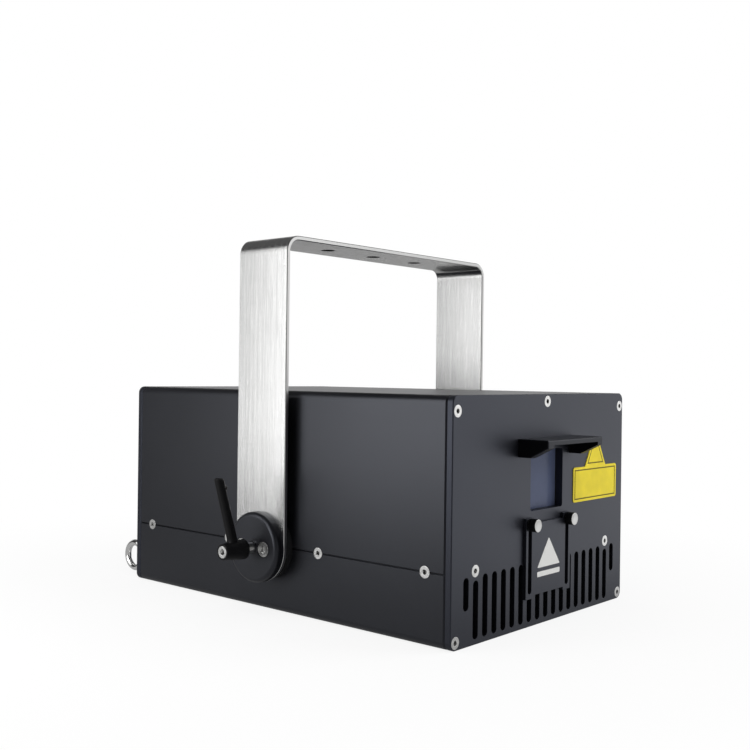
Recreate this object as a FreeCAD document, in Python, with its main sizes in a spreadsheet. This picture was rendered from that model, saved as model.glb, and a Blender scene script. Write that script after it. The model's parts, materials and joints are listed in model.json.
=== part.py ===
"""Laser show projector in a tilting yoke, as a parametric assembly.

The origin is the middle of the housing's underside. X runs across the front, the beam leaves
towards -Y, and Z is up. Every size below is in millimetres or degrees.
"""
import FreeCAD, Part
import os
import re
import Sketcher
from FreeCAD import Placement, Rotation, Vector

SIZES = {
    # Sleeve and end panels
    "housing_width": 210,
    "housing_height": 152,
    "sleeve_length": 300,
    "wall_thick": 3,
    "corner_radius": 5,
    "panel_thick": 5,
    "edge_break": 0.5,
    "seam_break": 0.8,
    "groove_depth": 0.7,
    "port_radius": 4.2,
    # Countersunk screws that hold the panels and the bench
    "screw_radius": 2,
    "head_radius": 3.8,
    "screw_length": 12,
    "socket_radius": 1.7,
    "socket_depth": 1.8,
    "screw_slack": 0.1,
    "corner_screw_inset": 4.8,
    "top_screw_drop": 9.4,
    "crown_screw_drop": 4.8,
    "bench_screw_shift": 0.4,
    "side_screw_inset": 15,
    # Air slots in the front panel
    "vent_pitch": 10,
    "vent_width": 5.5,
    "vent_inset": 14.5,
    "vent_low": 3.3,
    "vent_high": 42.1,
    "vent_short_high": 39.2,
    "vent_end_low": 22,
    # Beam window, its seal and clamp
    "window_size": 40,
    "window_drop": 0.4,
    "window_corner": 2,
    "window_rim": 5,
    "window_thick": 3,
    "seal_thick": 0.8,
    "clamp_rim": 3,
    "clamp_lip": 2,
    # Hood over the window
    "hood_rise": 8,
    "hood_reach": 22.3,
    "hood_roof": 3.3,
    "cheek_thick": 7,
    "cheek_height": 12.1,
    "cheek_flat": 9,
    "cheek_tip_height": 5.3,
    "hood_round": 1.2,
    "hood_screw_radius": 1.5,
    "hood_screw_length": 12,
    "hood_screw_head_radius": 2.7,
    "hood_screw_head_thick": 1.5,
    # Sliding beam mask and its thumb screws
    "mask_width": 55,
    "mask_thick": 2,
    "mask_gap": 0.2,
    "mask_side_gap": 0.5,
    "mask_travel": 43,
    "mask_slot_width": 4.3,
    "mask_rise": 0.7,
    "mask_rim": 1.15,
    "mask_ear": 2,
    "thumb_x": 23,
    "thumb_drop": 8.3,
    "thumb_head_radius": 4.25,
    "thumb_head_length": 6,
    "thumb_shank_radius": 1.95,
    # Optical bench and what is under it
    "bench_z": 45,
    "bench_thick": 8,
    "bench_gap": 0.3,
    "sink_front_gap": 10,
    "sink_rear_gap": 15,
    "sink_side_gap": 10,
    "sink_base": 5,
    "sink_edge": 5,
    "fin_low": 9,
    "fin_thick": 2,
    "fin_count": 13,
    "supply_half_width": 65,
    "supply_rear_gap": 7,
    "supply_length": 80,
    "supply_height": 30,
    "terminal_half_width": 32,
    "terminal_depth": 8,
    "terminal_height": 15,
    # Laser sources, mirrors and scanner on the bench
    "source_front_gap": 15,
    "source_side_gap": 4,
    "source_width": 34,
    "source_height": 63,
    "source_pitch": 60,
    "snout_radius": 6,
    "snout_length": 8,
    "post_width": 14,
    "mirror_side": 14,
    "mirror_thick": 2,
    "scanner_inset": 32,
    "scanner_gap": 16,
    "scanner_wall": 4,
    "scanner_foot_height": 14,
    "pillar_thick": 23,
    "pillar_inset": 1,
    "motor_radius": 7,
    "motor_gap": 0.6,
    "motor_tail": 10,
    "motor_bearing": 17,
    "scan_shaft_radius": 1.5,
    "scan_mirror_long": 14,
    "scan_mirror_wide": 9,
    "scan_mirror_thick": 1.2,
    "scan_reach": 5,
    "scan_clip": 2,
    # Circuit boards
    "board_side_gap": 4,
    "board_width": 54,
    "board_thick": 1.6,
    "board_front_gap": 3,
    "board_rear_gap": 11,
    "board_gap": 8,
    "part_end_gap": 13,
    "part_thick": 6,
    "part_inset": 6,
    "header_height": 7,
    "cooler_height": 18,
    "chip_side": 15,
    "chip_height": 3,
    "standoff_height": 8,
    "standoff_radius": 3,
    "standoff_inset": 5,
    # Cooling fans at the rear, and the air slots behind them
    "fan_size": 40,
    "fan_depth": 10,
    "fan_x": 30,
    "fan_gap": 0.5,
    "fan_bore_radius": 18.6,
    "fan_tip_radius": 17.8,
    "fan_hub_radius": 8.5,
    "fan_pin_radius": 1.5,
    "fan_base_thick": 2,
    "fan_strut": 3,
    "fan_blade_thick": 1,
    "fan_blade_depth": 8,
    "fan_blade_root": 1,
    "fan_blade_pitch": 38,
    "fan_blade_count": 7,
    "rear_vent_pitch": 10,
    "rear_vent_long": 35,
    "rear_vent_short": 23,
    "running_gap": 0.05,
    "turning_gap": 0.3,
    # Rear connectors
    "row_margin": 12,
    "cutout_gap": 0.2,
    "flange_thick": 2,
    "flange_screw_inset": 3.5,
    "flange_screw_radius": 2.6,
    "flange_screw_thick": 1.4,
    "flange_key_radius": 1.2,
    "flange_key_depth": 0.9,
    "socket_flange_x": 26,
    "socket_flange_z": 31,
    "socket_shell_radius": 11.8,
    "socket_shell_length": 22,
    "socket_mouth_radius": 9.5,
    "socket_mouth_depth": 16,
    "socket_core_radius": 8.3,
    "pin_circle_radius": 4.2,
    "pin_radius": 1.2,
    "pin_length": 10,
    "port_width": 12,
    "port_height": 10,
    "port_depth": 13,
    # Mains inlet and switch
    "inlet_flange_x": 32,
    "inlet_flange_z": 26,
    "inlet_body_x": 27,
    "inlet_body_z": 20,
    "inlet_depth": 24,
    "inlet_well": 17,
    "inlet_wall": 1.6,
    "blade_pitch": 7,
    "blade_rise": 2,
    "blade_thick": 2,
    "blade_wide": 4,
    "blade_length": 11,
    "switch_body_x": 11,
    "switch_body_z": 17,
    "switch_depth": 14,
    "switch_well": 12,
    "switch_wall": 1.6,
    "switch_rim": 2,
    "rocker_end_gap": 1,
    "rocker_edge_out": 3.2,
    "rocker_valley_out": 1.6,
    "rocker_edge_in": 2,
    "rocker_keel_in": 5,
    "rocker_tilt": 8,
    # Key switch, scan data socket and indicator lamps
    "key_flange_radius": 11,
    "key_body_radius": 9.4,
    "key_depth": 24,
    "key_well": 16,
    "key_barrel_radius": 6,
    "key_proud": 1,
    "keyway_wide": 2,
    "keyway_tall": 8.4,
    "keyway_depth": 10,
    "data_flange_x": 53,
    "data_flange_z": 12.5,
    "data_flange_thick": 1,
    "data_shell_x": 39,
    "data_shell_z": 8.4,
    "data_shell_out": 5,
    "data_shell_in": 10,
    "data_shell_taper": 1.5,
    "contact_count": 13,
    "contact_pitch": 2.76,
    "contact_row": 1.4,
    "contact_radius": 0.6,
    "contact_depth": 6,
    "jack_inset": 3,
    "jack_radius": 2.4,
    "jack_length": 4.5,
    "light_pitch": 10,
    "light_radius": 2,
    "light_proud": 1.2,
    "light_tail": 4,
    # Safety eye on the rear panel
    "eye_inset": 12,
    "eye_z": 15,
    "eye_offset": 18,
    "eye_radius": 10,
    "eye_wire_radius": 2.5,
    "eye_collar_radius": 7,
    "eye_collar_thick": 4,
    "eye_neck_radius": 4,
    "eye_shank_radius": 3,
    "eye_shank_tail": 10,
    "eye_nut_radius": 5.8,
    "eye_nut_thick": 5,
    # Yoke, its pivots and clamping levers
    "pivot_y": 2,
    "yoke_gap": 6,
    "yoke_thick": 3,
    "yoke_width": 48,
    "yoke_reach": 212,
    "yoke_bend": 8,
    "yoke_edge": 0.5,
    "clamp_hole_radius": 5.25,
    "clamp_hole_pitch": 50,
    "stud_radius": 4,
    "stud_slack": 0.3,
    "block_thick": 14,
    "block_length": 40,
    "block_height": 28,
    "spigot_radius": 10,
    "spigot_length": 6,
    "spacer_radius": 23,
    "disc_radius": 24,
    "disc_thick": 7,
    "disc_round": 3,
    "disc_screw_offset": 11,
    "disc_screw_radius": 3,
    "disc_head_radius": 5,
    "disc_head_thick": 4,
    "disc_head_gap": 0.4,
    "disc_key_radius": 2.9,
    "disc_key_depth": 1.8,
    "stud_bare": 7.5,
    "stud_key_radius": 2.2,
    "stud_key_depth": 2.7,
    "lever_hub_length": 18.5,
    "lever_foot_radius": 6.8,
    "lever_foot_length": 3,
    "lever_nose_radius": 5.3,
    "lever_bore_gap": 0.08,
    "arm_height": 49.3,
    "arm_root_out": 10.2,
    "arm_lean_out": 12.2,
    "arm_root_wide": 5.9,
    "arm_root_deep": 5.6,
    "arm_tip_wide": 5.6,
    "arm_tip_deep": 5.2,
    "arm_round": 1.8,
    "arm_tip_round": 0.9,
    "nib_radius": 1.9,
    "nib_drop": 7,
}

# Places worked out from the sizes
HALF_W = "(housing_width / 2)"
INNER_W = "(housing_width / 2 - wall_thick)"
FRONT = "(-sleeve_length / 2 - panel_thick)"
FRONT_IN = "(-sleeve_length / 2)"
REAR = "(sleeve_length / 2 + panel_thick)"
REAR_IN = "(sleeve_length / 2)"
BENCH_TOP = "(bench_z + bench_thick / 2)"
BENCH_LOW = "(bench_z - bench_thick / 2)"
WINDOW_LOW = "(housing_height / 2 - window_drop)"
WINDOW_TOP = "(housing_height / 2 - window_drop + window_size)"
BEAM_Z = "(housing_height / 2 - window_drop + window_size / 2)"
HOOD_HALF = "(mask_width / 2 + mask_side_gap + cheek_thick)"
HOOD_TOP = f"({WINDOW_TOP} + hood_rise)"
CHEEK_LOW = f"({WINDOW_TOP} + hood_rise - cheek_height)"
HOOD_SCREW_X = "(mask_width / 2 + mask_side_gap + cheek_thick / 2)"
HOOD_SCREW_Z = f"({WINDOW_TOP} + hood_rise - cheek_height / 2)"
THUMB_Z = f"({WINDOW_LOW} - thumb_drop)"
HOLE_RADIUS = "(screw_radius + screw_slack)"
CORNER_X = "(housing_width / 2 - corner_screw_inset)"
TOP_SCREW_Z = "(housing_height - top_screw_drop)"
CROWN_Z = "(housing_height - crown_screw_drop)"
FAN_Z = "(wall_thick + fan_gap + fan_size / 2)"
SUPPLY_END = f"({REAR_IN} - fan_depth - supply_rear_gap - terminal_depth)"
SUPPLY_START = f"({SUPPLY_END} - supply_length)"
PIVOT_IN = "(housing_width / 2 - wall_thick - block_thick)"
SCANNER_Y = f"({FRONT_IN} + scanner_inset)"
SCANNER_END = f"({SCANNER_Y} + scanner_gap + motor_radius + scanner_wall)"
SOURCE_MIDDLE = f"(({SCANNER_END} + {REAR} - inlet_depth) / 2)"
BOARD_START = f"({SCANNER_END} + board_front_gap)"
BOARD_LENGTH = f"(({REAR} - key_depth - board_rear_gap - {BOARD_START} - 2 * board_gap) / 3)"
EYE_X = "(eye_inset - housing_width / 2)"
YOKE_INNER = "(housing_width / 2 + yoke_gap)"
YOKE_OUTER = "(housing_width / 2 + yoke_gap + yoke_thick)"
DISC_FACE = f"({YOKE_OUTER} + disc_thick)"
HUB_START = f"({DISC_FACE} + stud_bare)"
HUB_END = f"({HUB_START} + lever_hub_length)"

# Columns of air slots to each side of the middle one; a bench screw sits over the last but one
VENT_HALF = "floor((housing_width / 2 - vent_inset) / vent_pitch)"
BENCH_SCREW_X = f"(vent_pitch * ({VENT_HALF} - 1) + bench_screw_shift)"

# Panel screws: the four corners, the crown and two into the edge of the bench
PANEL_SCREWS = [(f"-{CORNER_X}", "corner_screw_inset"), (CORNER_X, "corner_screw_inset"),
                (f"-{CORNER_X}", TOP_SCREW_Z), (CORNER_X, TOP_SCREW_Z), ("0", CROWN_Z),
                (f"-{BENCH_SCREW_X}", "bench_z"), (BENCH_SCREW_X, "bench_z")]
PORTS = PANEL_SCREWS[:5]
SIDE_SCREW_Y = [f"(sleeve_length / 2 - side_screw_inset) * {step} / 3" for step in (-3, -1, 1, 3)]


def spread(*widths):
    """Middles of things set side by side across the rear panel, with equal gaps between them."""
    gap = f"(housing_width - 2 * row_margin - {' - '.join(widths)}) / {len(widths) - 1}"
    edge = f"row_margin - {HALF_W}"
    middles = []
    for width in widths:
        middles.append(f"({edge} + {width} / 2)")
        edge = f"{edge} + {width} + {gap}"
    return middles


# Rear connectors, in two rows with equal gaps between the bench and the roof
ROW_GAP = f"((housing_height - wall_thick - {BENCH_TOP} - 2 * socket_flange_z) / 3)"
LOWER_ROW = f"({BENCH_TOP} + {ROW_GAP} + socket_flange_z / 2)"
UPPER_ROW = f"({LOWER_ROW} + {ROW_GAP} + socket_flange_z)"
DMX_IN_X, DMX_OUT_X, NETWORK_X, DATA_X = spread("socket_flange_x", "socket_flange_x", "socket_flange_x",
                                                "data_flange_x")
KEY_X, INTERLOCK_X, LIGHTS_X, SWITCH_X, INLET_X = spread(
    "2 * key_flange_radius", "socket_flange_x", "2 * (light_pitch + light_radius)",
    "(switch_body_x + 2 * switch_rim)", "inlet_flange_x")
LIGHTS = [f"{LIGHTS_X} + light_pitch * {step}" for step in (-1, 0, 1)]
ROUND_SOCKETS = {
    "dmx_in_socket": (DMX_IN_X, UPPER_ROW),
    "dmx_out_socket": (DMX_OUT_X, UPPER_ROW),
    "network_socket": (NETWORK_X, UPPER_ROW),
    "interlock_socket": (INTERLOCK_X, LOWER_ROW),
}

# Rotations that carry a local +Z to the named direction
TOWARDS = {
    "+x": Rotation(Vector(0, 1, 0), 90),
    "-x": Rotation(Vector(0, 1, 0), -90),
    "+y": Rotation(Vector(1, 0, 0), -90),
    "-y": Rotation(Vector(1, 0, 0), 90),
    "+z": Rotation(),
    "-z": Rotation(Vector(1, 0, 0), 180),
}
HALF_TURN = Rotation(Vector(0, 0, 1), 180)

doc = FreeCAD.newDocument("laser_show_projector")
sheet = doc.addObject("Spreadsheet::Sheet", "Sizes")
for row, (alias, number) in enumerate(SIZES.items(), start=1):
    sheet.set(f"A{row}", alias)
    sheet.set(f"B{row}", str(number))
    sheet.setAlias(f"B{row}", alias)
doc.recompute()

pieces = []


def cell(text):
    """An expression with each size's name pointed at the sheet."""
    return re.sub(r"[a-z][a-z_]*", lambda word: ("Sizes." if word[0] in SIZES else "") + word[0], text)


def value(text):
    """The present value of an expression."""
    return float(sheet.evalExpression(cell(text)))


def bind(thing, **properties):
    """Ties properties to expressions; a double underscore stands for a dot."""
    for name, text in properties.items():
        thing.setExpression(name.replace("__", "."), cell(text))


def put(thing, x="0", y="0", z="0", turn=None):
    """Places an object, with its position tied to the sheet."""
    thing.Placement = Placement(Vector(), turn or Rotation())
    bind(thing, Placement__Base__x=x, Placement__Base__y=y, Placement__Base__z=z)
    return thing


def piece(thing, label):
    """Names an object as one sub-part of the assembly."""
    thing.Label = label
    pieces.append(thing)
    return thing


# Solids from primitives

def block(x, y, z):
    """A box between pairs of expressions."""
    box = doc.addObject("Part::Box", "Block")
    bind(box, Length=f"{x[1]} - ({x[0]})", Width=f"{y[1]} - ({y[0]})", Height=f"{z[1]} - ({z[0]})")
    return put(box, x[0], y[0], z[0])


def rod(towards, x, y, z, radius, length):
    """A cylinder from a point in one of the named directions."""
    bar = doc.addObject("Part::Cylinder", "Rod")
    bind(bar, Radius=radius, Height=length)
    return put(bar, x, y, z, TOWARDS[towards])


def hexagon(towards, x, y, z, radius, length):
    """A six-sided prism from a point in one of the named directions."""
    prism = doc.addObject("Part::Prism", "Hexagon")
    prism.Polygon = 6
    bind(prism, Circumradius=radius, Height=length)
    return put(prism, x, y, z, TOWARDS[towards])


def fuse(*solids):
    """One solid from several that meet."""
    union = doc.addObject("Part::MultiFuse", "Union")
    union.Shapes = list(solids)
    return union


def group(*solids):
    """Several separate solids kept as one object."""
    bundle = doc.addObject("Part::Compound", "Group")
    bundle.Links = list(solids)
    return bundle


def cut(base, *tools):
    """A solid with tools taken out of it."""
    result = doc.addObject("Part::Cut", "Cut")
    result.Base = base
    result.Tool = tools[0] if len(tools) == 1 else fuse(*tools)
    return result


def copies(source, places):
    """Copies of one solid, each at (turn, x, y, z)."""
    links = []
    for turn, x, y, z in places:
        link = doc.addObject("App::Link", "Copy")
        link.LinkedObject = source
        links.append(put(link, x, y, z, turn))
    return group(*links)


# Bodies from sketches

def new_body(label):
    """An empty body that becomes one sub-part."""
    return piece(doc.addObject("PartDesign::Body", "Body"), label)


def datum(body, role):
    """One of a body's own origin planes or axes."""
    return next(feature for feature in body.Origin.OriginFeatures if feature.Role == role)


class Draft:
    """A sketch on a body's own plane, moved along that plane's axis to a place."""

    def __init__(self, body, plane, place="0"):
        self.sketch = body.newObject("Sketcher::SketchObject", "Sketch")
        self.sketch.AttachmentSupport = [(datum(body, plane), "")]
        self.sketch.MapMode = "FlatFace"
        bind(self.sketch, AttachmentOffset__Base__z=f"-({place})" if plane == "XZ_Plane" else place)

    def rule(self, kind, text, *where):
        """A dimension tied to the sheet."""
        index = self.sketch.addConstraint(Sketcher.Constraint(kind, *where, value(text)))
        self.sketch.setExpression(f"Constraints[{index}]", cell(text))

    def fix(self, line, end, x, y):
        """Holds one end of a line, or a centre, at a place."""
        self.rule("DistanceX", x, -1, 1, line, end)
        self.rule("DistanceY", y, -1, 1, line, end)

    def outline(self, corners):
        """A closed outline of straight lines through corners."""
        spots = [Vector(value(x), value(y), 0) for x, y in corners]
        lines = []
        for start, end in zip(spots, spots[1:] + spots[:1]):
            lines.append(self.sketch.addGeometry(Part.LineSegment(start, end), False))
        for line, following in zip(lines, lines[1:] + lines[:1]):
            self.sketch.addConstraint(Sketcher.Constraint("Coincident", line, 2, following, 1))
        for line, (x, y) in zip(lines, corners):
            self.fix(line, 1, x, y)
        return self

    def rect(self, left, right, low, high):
        """A rectangle between two pairs of sides."""
        return self.outline([(left, low), (right, low), (right, high), (left, high)])

    def circle(self, x, y, radius):
        """A circle about a point."""
        shape = Part.Circle(Vector(value(x), value(y), 0), Vector(0, 0, 1), value(radius))
        ring = self.sketch.addGeometry(shape, False)
        self.fix(ring, 3, x, y)
        self.rule("Radius", radius, ring)
        return self

    def slot(self, x, low, high, width):
        """An upright slot with round ends."""
        half = f"({width}) / 2"
        middle, radius = value(x), value(half)
        bottom, top = value(low) + radius, value(high) - radius
        add = self.sketch.addGeometry
        upper = add(Part.Arc(Vector(middle + radius, top, 0), Vector(middle, top + radius, 0),
                             Vector(middle - radius, top, 0)), False)
        left = add(Part.LineSegment(Vector(middle - radius, top, 0),
                                    Vector(middle - radius, bottom, 0)), False)
        lower = add(Part.Arc(Vector(middle - radius, bottom, 0), Vector(middle, bottom - radius, 0),
                             Vector(middle + radius, bottom, 0)), False)
        right = add(Part.LineSegment(Vector(middle + radius, bottom, 0),
                                     Vector(middle + radius, top, 0)), False)
        for line, end, following, start in ((upper, 2, left, 1), (left, 2, lower, 1),
                                            (lower, 2, right, 1), (right, 2, upper, 1)):
            self.sketch.addConstraint(Sketcher.Constraint("Tangent", line, end, following, start))
        self.sketch.addConstraint(Sketcher.Constraint("Vertical", left))
        self.fix(upper, 3, x, f"{high} - {half}")
        self.fix(lower, 3, x, f"{low} + {half}")
        self.rule("Radius", half, upper)
        return self


def pad(body, draft, length):
    """Material from a sketch: to -Y, +X or +Z of its plane."""
    feature = body.newObject("PartDesign::Pad", "Pad")
    feature.Profile = draft.sketch
    bind(feature, Length=length)
    doc.recompute()
    return feature


def pocket(body, draft, length):
    """A cut from a sketch: to +Y, -X or -Z of its plane."""
    before = body.Shape.Volume
    feature = body.newObject("PartDesign::Pocket", "Pocket")
    feature.Profile = draft.sketch
    bind(feature, Length=length)
    doc.recompute()
    if body.Shape.Volume >= before:
        raise RuntimeError(f"a pocket in {body.Label} cuts nothing")
    return feature


def repeat(body, feature, kind, axis, **settings):
    """A linear or polar pattern of one feature along or about an axis of the body."""
    pattern = body.newObject("PartDesign::" + kind, "Pattern")
    pattern.Originals = [feature]
    setattr(pattern, "Direction" if kind == "LinearPattern" else "Axis", (datum(body, axis), [""]))
    bind(pattern, **settings)
    body.Tip = pattern
    doc.recompute()
    return pattern


def dress(body, kind, edges, **size):
    """A fillet or chamfer on the edges of a body that pass a test."""
    base = body.Tip
    names = [f"Edge{index}" for index, edge in enumerate(base.Shape.Edges, start=1) if edges(edge)]
    feature = body.newObject("PartDesign::" + kind, kind)
    feature.Base = (base, names)
    bind(feature, **size)
    doc.recompute()
    return feature


def drill(body, towards, x, y, z, radius, depth):
    """A round hole from a point into a body."""
    hole = body.newObject("PartDesign::SubtractiveCylinder", "Drill")
    bind(hole, Radius=radius, Height=depth)
    put(hole, x, y, z, TOWARDS[towards])


def countersink(body, towards, x, y, z, depth):
    """A clearance hole with a cone for a screw head."""
    drill(body, towards, x, y, z, HOLE_RADIUS, depth)
    cone = body.newObject("PartDesign::SubtractiveCone", "Countersink")
    bind(cone, Radius1="head_radius + screw_slack", Radius2=HOLE_RADIUS, Height="head_radius - screw_radius")
    put(cone, x, y, z, TOWARDS[towards])


def along(axis):
    """A test for straight edges that run along an axis."""
    def test(edge):
        if edge.Curve.TypeId != "Part::GeomLine":
            return False
        return abs(abs(getattr(edge.Curve.Direction, axis)) - 1) < 1e-6
    return test


def flat_at(axis, *places):
    """A test for edges that lie wholly at one of some places on an axis."""
    def test(edge):
        low, high = getattr(edge.BoundBox, axis.upper() + "Min"), getattr(edge.BoundBox, axis.upper() + "Max")
        return any(abs(low - place) < 1e-4 and abs(high - place) < 1e-4 for place in places)
    return test


def corner_of(x, *heights):
    """A test for the edges along Y at a corner that is alike on both sides, at any of some heights."""
    def test(edge):
        middle = edge.CenterOfMass
        return along("y")(edge) and abs(abs(middle.x) - x) < 1e-4 and any(
            abs(middle.z - height) < 1e-4 for height in heights)
    return test


# Housing

def housing_sleeve():
    """The extruded sleeve with its screw ports and the fine groove along each side."""
    body = new_body("housing_sleeve")
    outside = Draft(body, "XZ_Plane", REAR_IN)
    pad(body, outside.rect(f"-{HALF_W}", HALF_W, "0", "housing_height"), "sleeve_length")
    dress(body, "Fillet", along("y"), Radius="corner_radius")
    dress(body, "Chamfer", flat_at("y", value(FRONT_IN), value(REAR_IN)), Size="seam_break")
    hollow = Draft(body, "XZ_Plane", FRONT_IN)
    hollow.rect(f"-{INNER_W}", INNER_W, "wall_thick", "housing_height - wall_thick")
    pocket(body, hollow, "sleeve_length")
    ports = Draft(body, "XZ_Plane", REAR_IN)
    threads = Draft(body, "XZ_Plane", FRONT_IN)
    for x, z in PORTS:
        ports.circle(x, z, "port_radius")
        threads.circle(x, z, HOLE_RADIUS)
    pad(body, ports, "sleeve_length")
    pocket(body, threads, "sleeve_length")
    grooves = Draft(body, "XZ_Plane", FRONT_IN)
    for side in ("-", ""):
        grooves.outline([(f"{side}({HALF_W} - groove_depth)", "bench_z"),
                         (f"{side}({HALF_W} + groove_depth)", "bench_z - 2 * groove_depth"),
                         (f"{side}({HALF_W} + groove_depth)", "bench_z + 2 * groove_depth")])
    pocket(body, grooves, "sleeve_length")
    for y in SIDE_SCREW_Y:
        countersink(body, "+x", f"-{HALF_W}", y, "bench_z", "wall_thick")
        countersink(body, "-x", HALF_W, y, "bench_z", "wall_thick")
    drill(body, "+x", f"-{HALF_W}", "pivot_y", "bench_z", "spigot_radius + screw_slack", "housing_width")


def end_plate(label, outer, inner, towards):
    """A panel blank with rounded corners, broken edges and its seven countersinks."""
    body = new_body(label)
    blank = Draft(body, "XZ_Plane", inner if towards == "+y" else outer)
    pad(body, blank.rect(f"-{HALF_W}", HALF_W, "0", "housing_height"), "panel_thick")
    dress(body, "Fillet", along("y"), Radius="corner_radius")
    dress(body, "Chamfer", flat_at("y", value(outer)), Size="edge_break")
    dress(body, "Chamfer", flat_at("y", value(inner)), Size="seam_break")
    for x, z in PANEL_SCREWS:
        countersink(body, towards, x, outer, z, "panel_thick")
    return body


def front_panel():
    """The front panel with the beam window, air slots and tapped holes for the thumb screws."""
    body = end_plate("front_panel", FRONT, FRONT_IN, "+y")
    half = "window_size / 2"
    window = Draft(body, "XZ_Plane", FRONT)
    pocket(body, window.rect(f"-{half}", half, WINDOW_LOW, WINDOW_TOP), "panel_thick")
    dress(body, "Fillet", corner_of(value(half), value(WINDOW_LOW), value(WINDOW_TOP)),
          Radius="window_corner")
    first = Draft(body, "XZ_Plane", FRONT)
    first.slot(f"-vent_pitch * ({VENT_HALF} - 2)", "vent_low", "vent_high", "vent_width")
    repeat(body, pocket(body, first, "panel_thick"), "LinearPattern", "X_Axis",
           Length=f"2 * vent_pitch * ({VENT_HALF} - 2)", Occurrences=f"2 * ({VENT_HALF} - 2) + 1")
    ends = Draft(body, "XZ_Plane", FRONT)
    for side in ("-", ""):
        ends.slot(f"{side}vent_pitch * ({VENT_HALF} - 1)", "vent_low", "vent_short_high", "vent_width")
        ends.slot(f"{side}vent_pitch * {VENT_HALF}", "vent_end_low", "vent_high", "vent_width")
    pocket(body, ends, "panel_thick")
    holes = Draft(body, "XZ_Plane", FRONT)
    for side in ("-", ""):
        holes.circle(f"{side}thumb_x", THUMB_Z, "thumb_shank_radius + running_gap")
        holes.circle(f"{side}{HOOD_SCREW_X}", HOOD_SCREW_Z, "hood_screw_radius + screw_slack")
    pocket(body, holes, "panel_thick")


def rear_panel():
    """The rear panel with its connector cut-outs and the air slots in front of the fans."""
    body = end_plate("rear_panel", REAR, REAR_IN, "-y")
    openings = Draft(body, "XZ_Plane", REAR_IN)
    for x, z in ROUND_SOCKETS.values():
        openings.circle(x, z, "socket_shell_radius + cutout_gap")
    openings.circle(KEY_X, LOWER_ROW, "key_body_radius + cutout_gap")
    for x, z, wide, tall in ((INLET_X, LOWER_ROW, "inlet_body_x", "inlet_body_z"),
                             (SWITCH_X, LOWER_ROW, "switch_body_x", "switch_body_z"),
                             (DATA_X, UPPER_ROW, "data_shell_x", "data_shell_z")):
        openings.rect(f"{x} - {wide} / 2 - cutout_gap", f"{x} + {wide} / 2 + cutout_gap",
                      f"{z} - {tall} / 2 - cutout_gap", f"{z} + {tall} / 2 + cutout_gap")
    for x in LIGHTS:
        openings.circle(x, LOWER_ROW, "light_radius + screw_slack")
    openings.circle(EYE_X, "eye_z", "eye_shank_radius + screw_slack")
    pocket(body, openings, "panel_thick")
    vents = Draft(body, "XZ_Plane", REAR_IN)
    for side in ("-", ""):
        for step, length in ((-1.5, "rear_vent_short"), (-0.5, "rear_vent_long"), (0.5, "rear_vent_long"),
                             (1.5, "rear_vent_short")):
            vents.slot(f"{side}fan_x + rear_vent_pitch * {step}", f"{FAN_Z} - {length} / 2",
                       f"{FAN_Z} + {length} / 2", "vent_width")
    pocket(body, vents, "panel_thick")


def countersunk_screw():
    """One hex-socket countersunk screw, head face at the origin, pointing along +Z."""
    cone = doc.addObject("Part::Cone", "Head")
    bind(cone, Radius1="head_radius", Radius2="screw_radius", Height="head_radius - screw_radius")
    shank = rod("+z", "0", "0", "0", "screw_radius", "screw_length")
    return cut(fuse(cone, shank), hexagon("+z", "0", "0", "0", "socket_radius", "socket_depth"))


def panel_screws():
    """The screws of both panels and of the two sides of the sleeve."""
    screw = countersunk_screw()
    front = [(TOWARDS["+y"], x, FRONT, z) for x, z in PANEL_SCREWS]
    rear = [(TOWARDS["-y"], x, REAR, z) for x, z in PANEL_SCREWS]
    sides = [(TOWARDS["+x"], f"-{HALF_W}", y, "bench_z") for y in SIDE_SCREW_Y]
    sides += [(TOWARDS["-x"], HALF_W, y, "bench_z") for y in SIDE_SCREW_Y]
    piece(copies(screw, front), "front_panel_screws")
    piece(copies(screw, rear), "rear_panel_screws")
    piece(copies(screw, sides), "side_screws")


# Beam window, hood and mask

def aperture_hood():
    """The hood: a roof between two cheeks whose lower edges slope up to the front."""
    body = new_body("aperture_hood")
    tip = f"({FRONT} - hood_reach)"
    side = Draft(body, "YZ_Plane", f"-{HOOD_HALF}")
    side.outline([(FRONT, HOOD_TOP), (FRONT, CHEEK_LOW), (f"{FRONT} - cheek_flat", CHEEK_LOW),
                  (tip, f"{HOOD_TOP} - cheek_tip_height"), (tip, HOOD_TOP)])
    pad(body, side, f"2 * {HOOD_HALF}")
    between = Draft(body, "XZ_Plane", tip)
    inside = f"({HOOD_HALF} - cheek_thick)"
    pocket(body, between.rect(f"-{inside}", inside, CHEEK_LOW, f"{HOOD_TOP} - hood_roof"), "hood_reach")
    dress(body, "Fillet", outer_edge(value(HOOD_HALF), value(FRONT), value(HOOD_TOP)), Radius="hood_round")
    for sign in ("-", ""):
        drill(body, "-y", f"{sign}{HOOD_SCREW_X}", FRONT, HOOD_SCREW_Z, "hood_screw_radius + screw_slack",
              "hood_screw_length - panel_thick")


def outer_edge(half_width, back, top):
    """A test for the edges round the hood's two sides and along its front, clear of the panel."""
    def test(edge):
        middle = edge.CenterOfMass
        lip = along("x")(edge) and abs(middle.z - top) < 1e-4
        return edge.BoundBox.YMin < back - 1e-4 and middle.y < back - 1e-4 and (
            abs(abs(middle.x) - half_width) < 1e-4 or lip)
    return test


def hood_screws():
    """Two screws from behind the front panel into the cheeks."""
    screws = []
    for sign in ("-", ""):
        place = (f"{sign}{HOOD_SCREW_X}", FRONT_IN, HOOD_SCREW_Z)
        screws.append(fuse(rod("-y", *place, "hood_screw_radius", "hood_screw_length"),
                           rod("+y", *place, "hood_screw_head_radius", "hood_screw_head_thick")))
    piece(group(*screws), "hood_screws")


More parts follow.
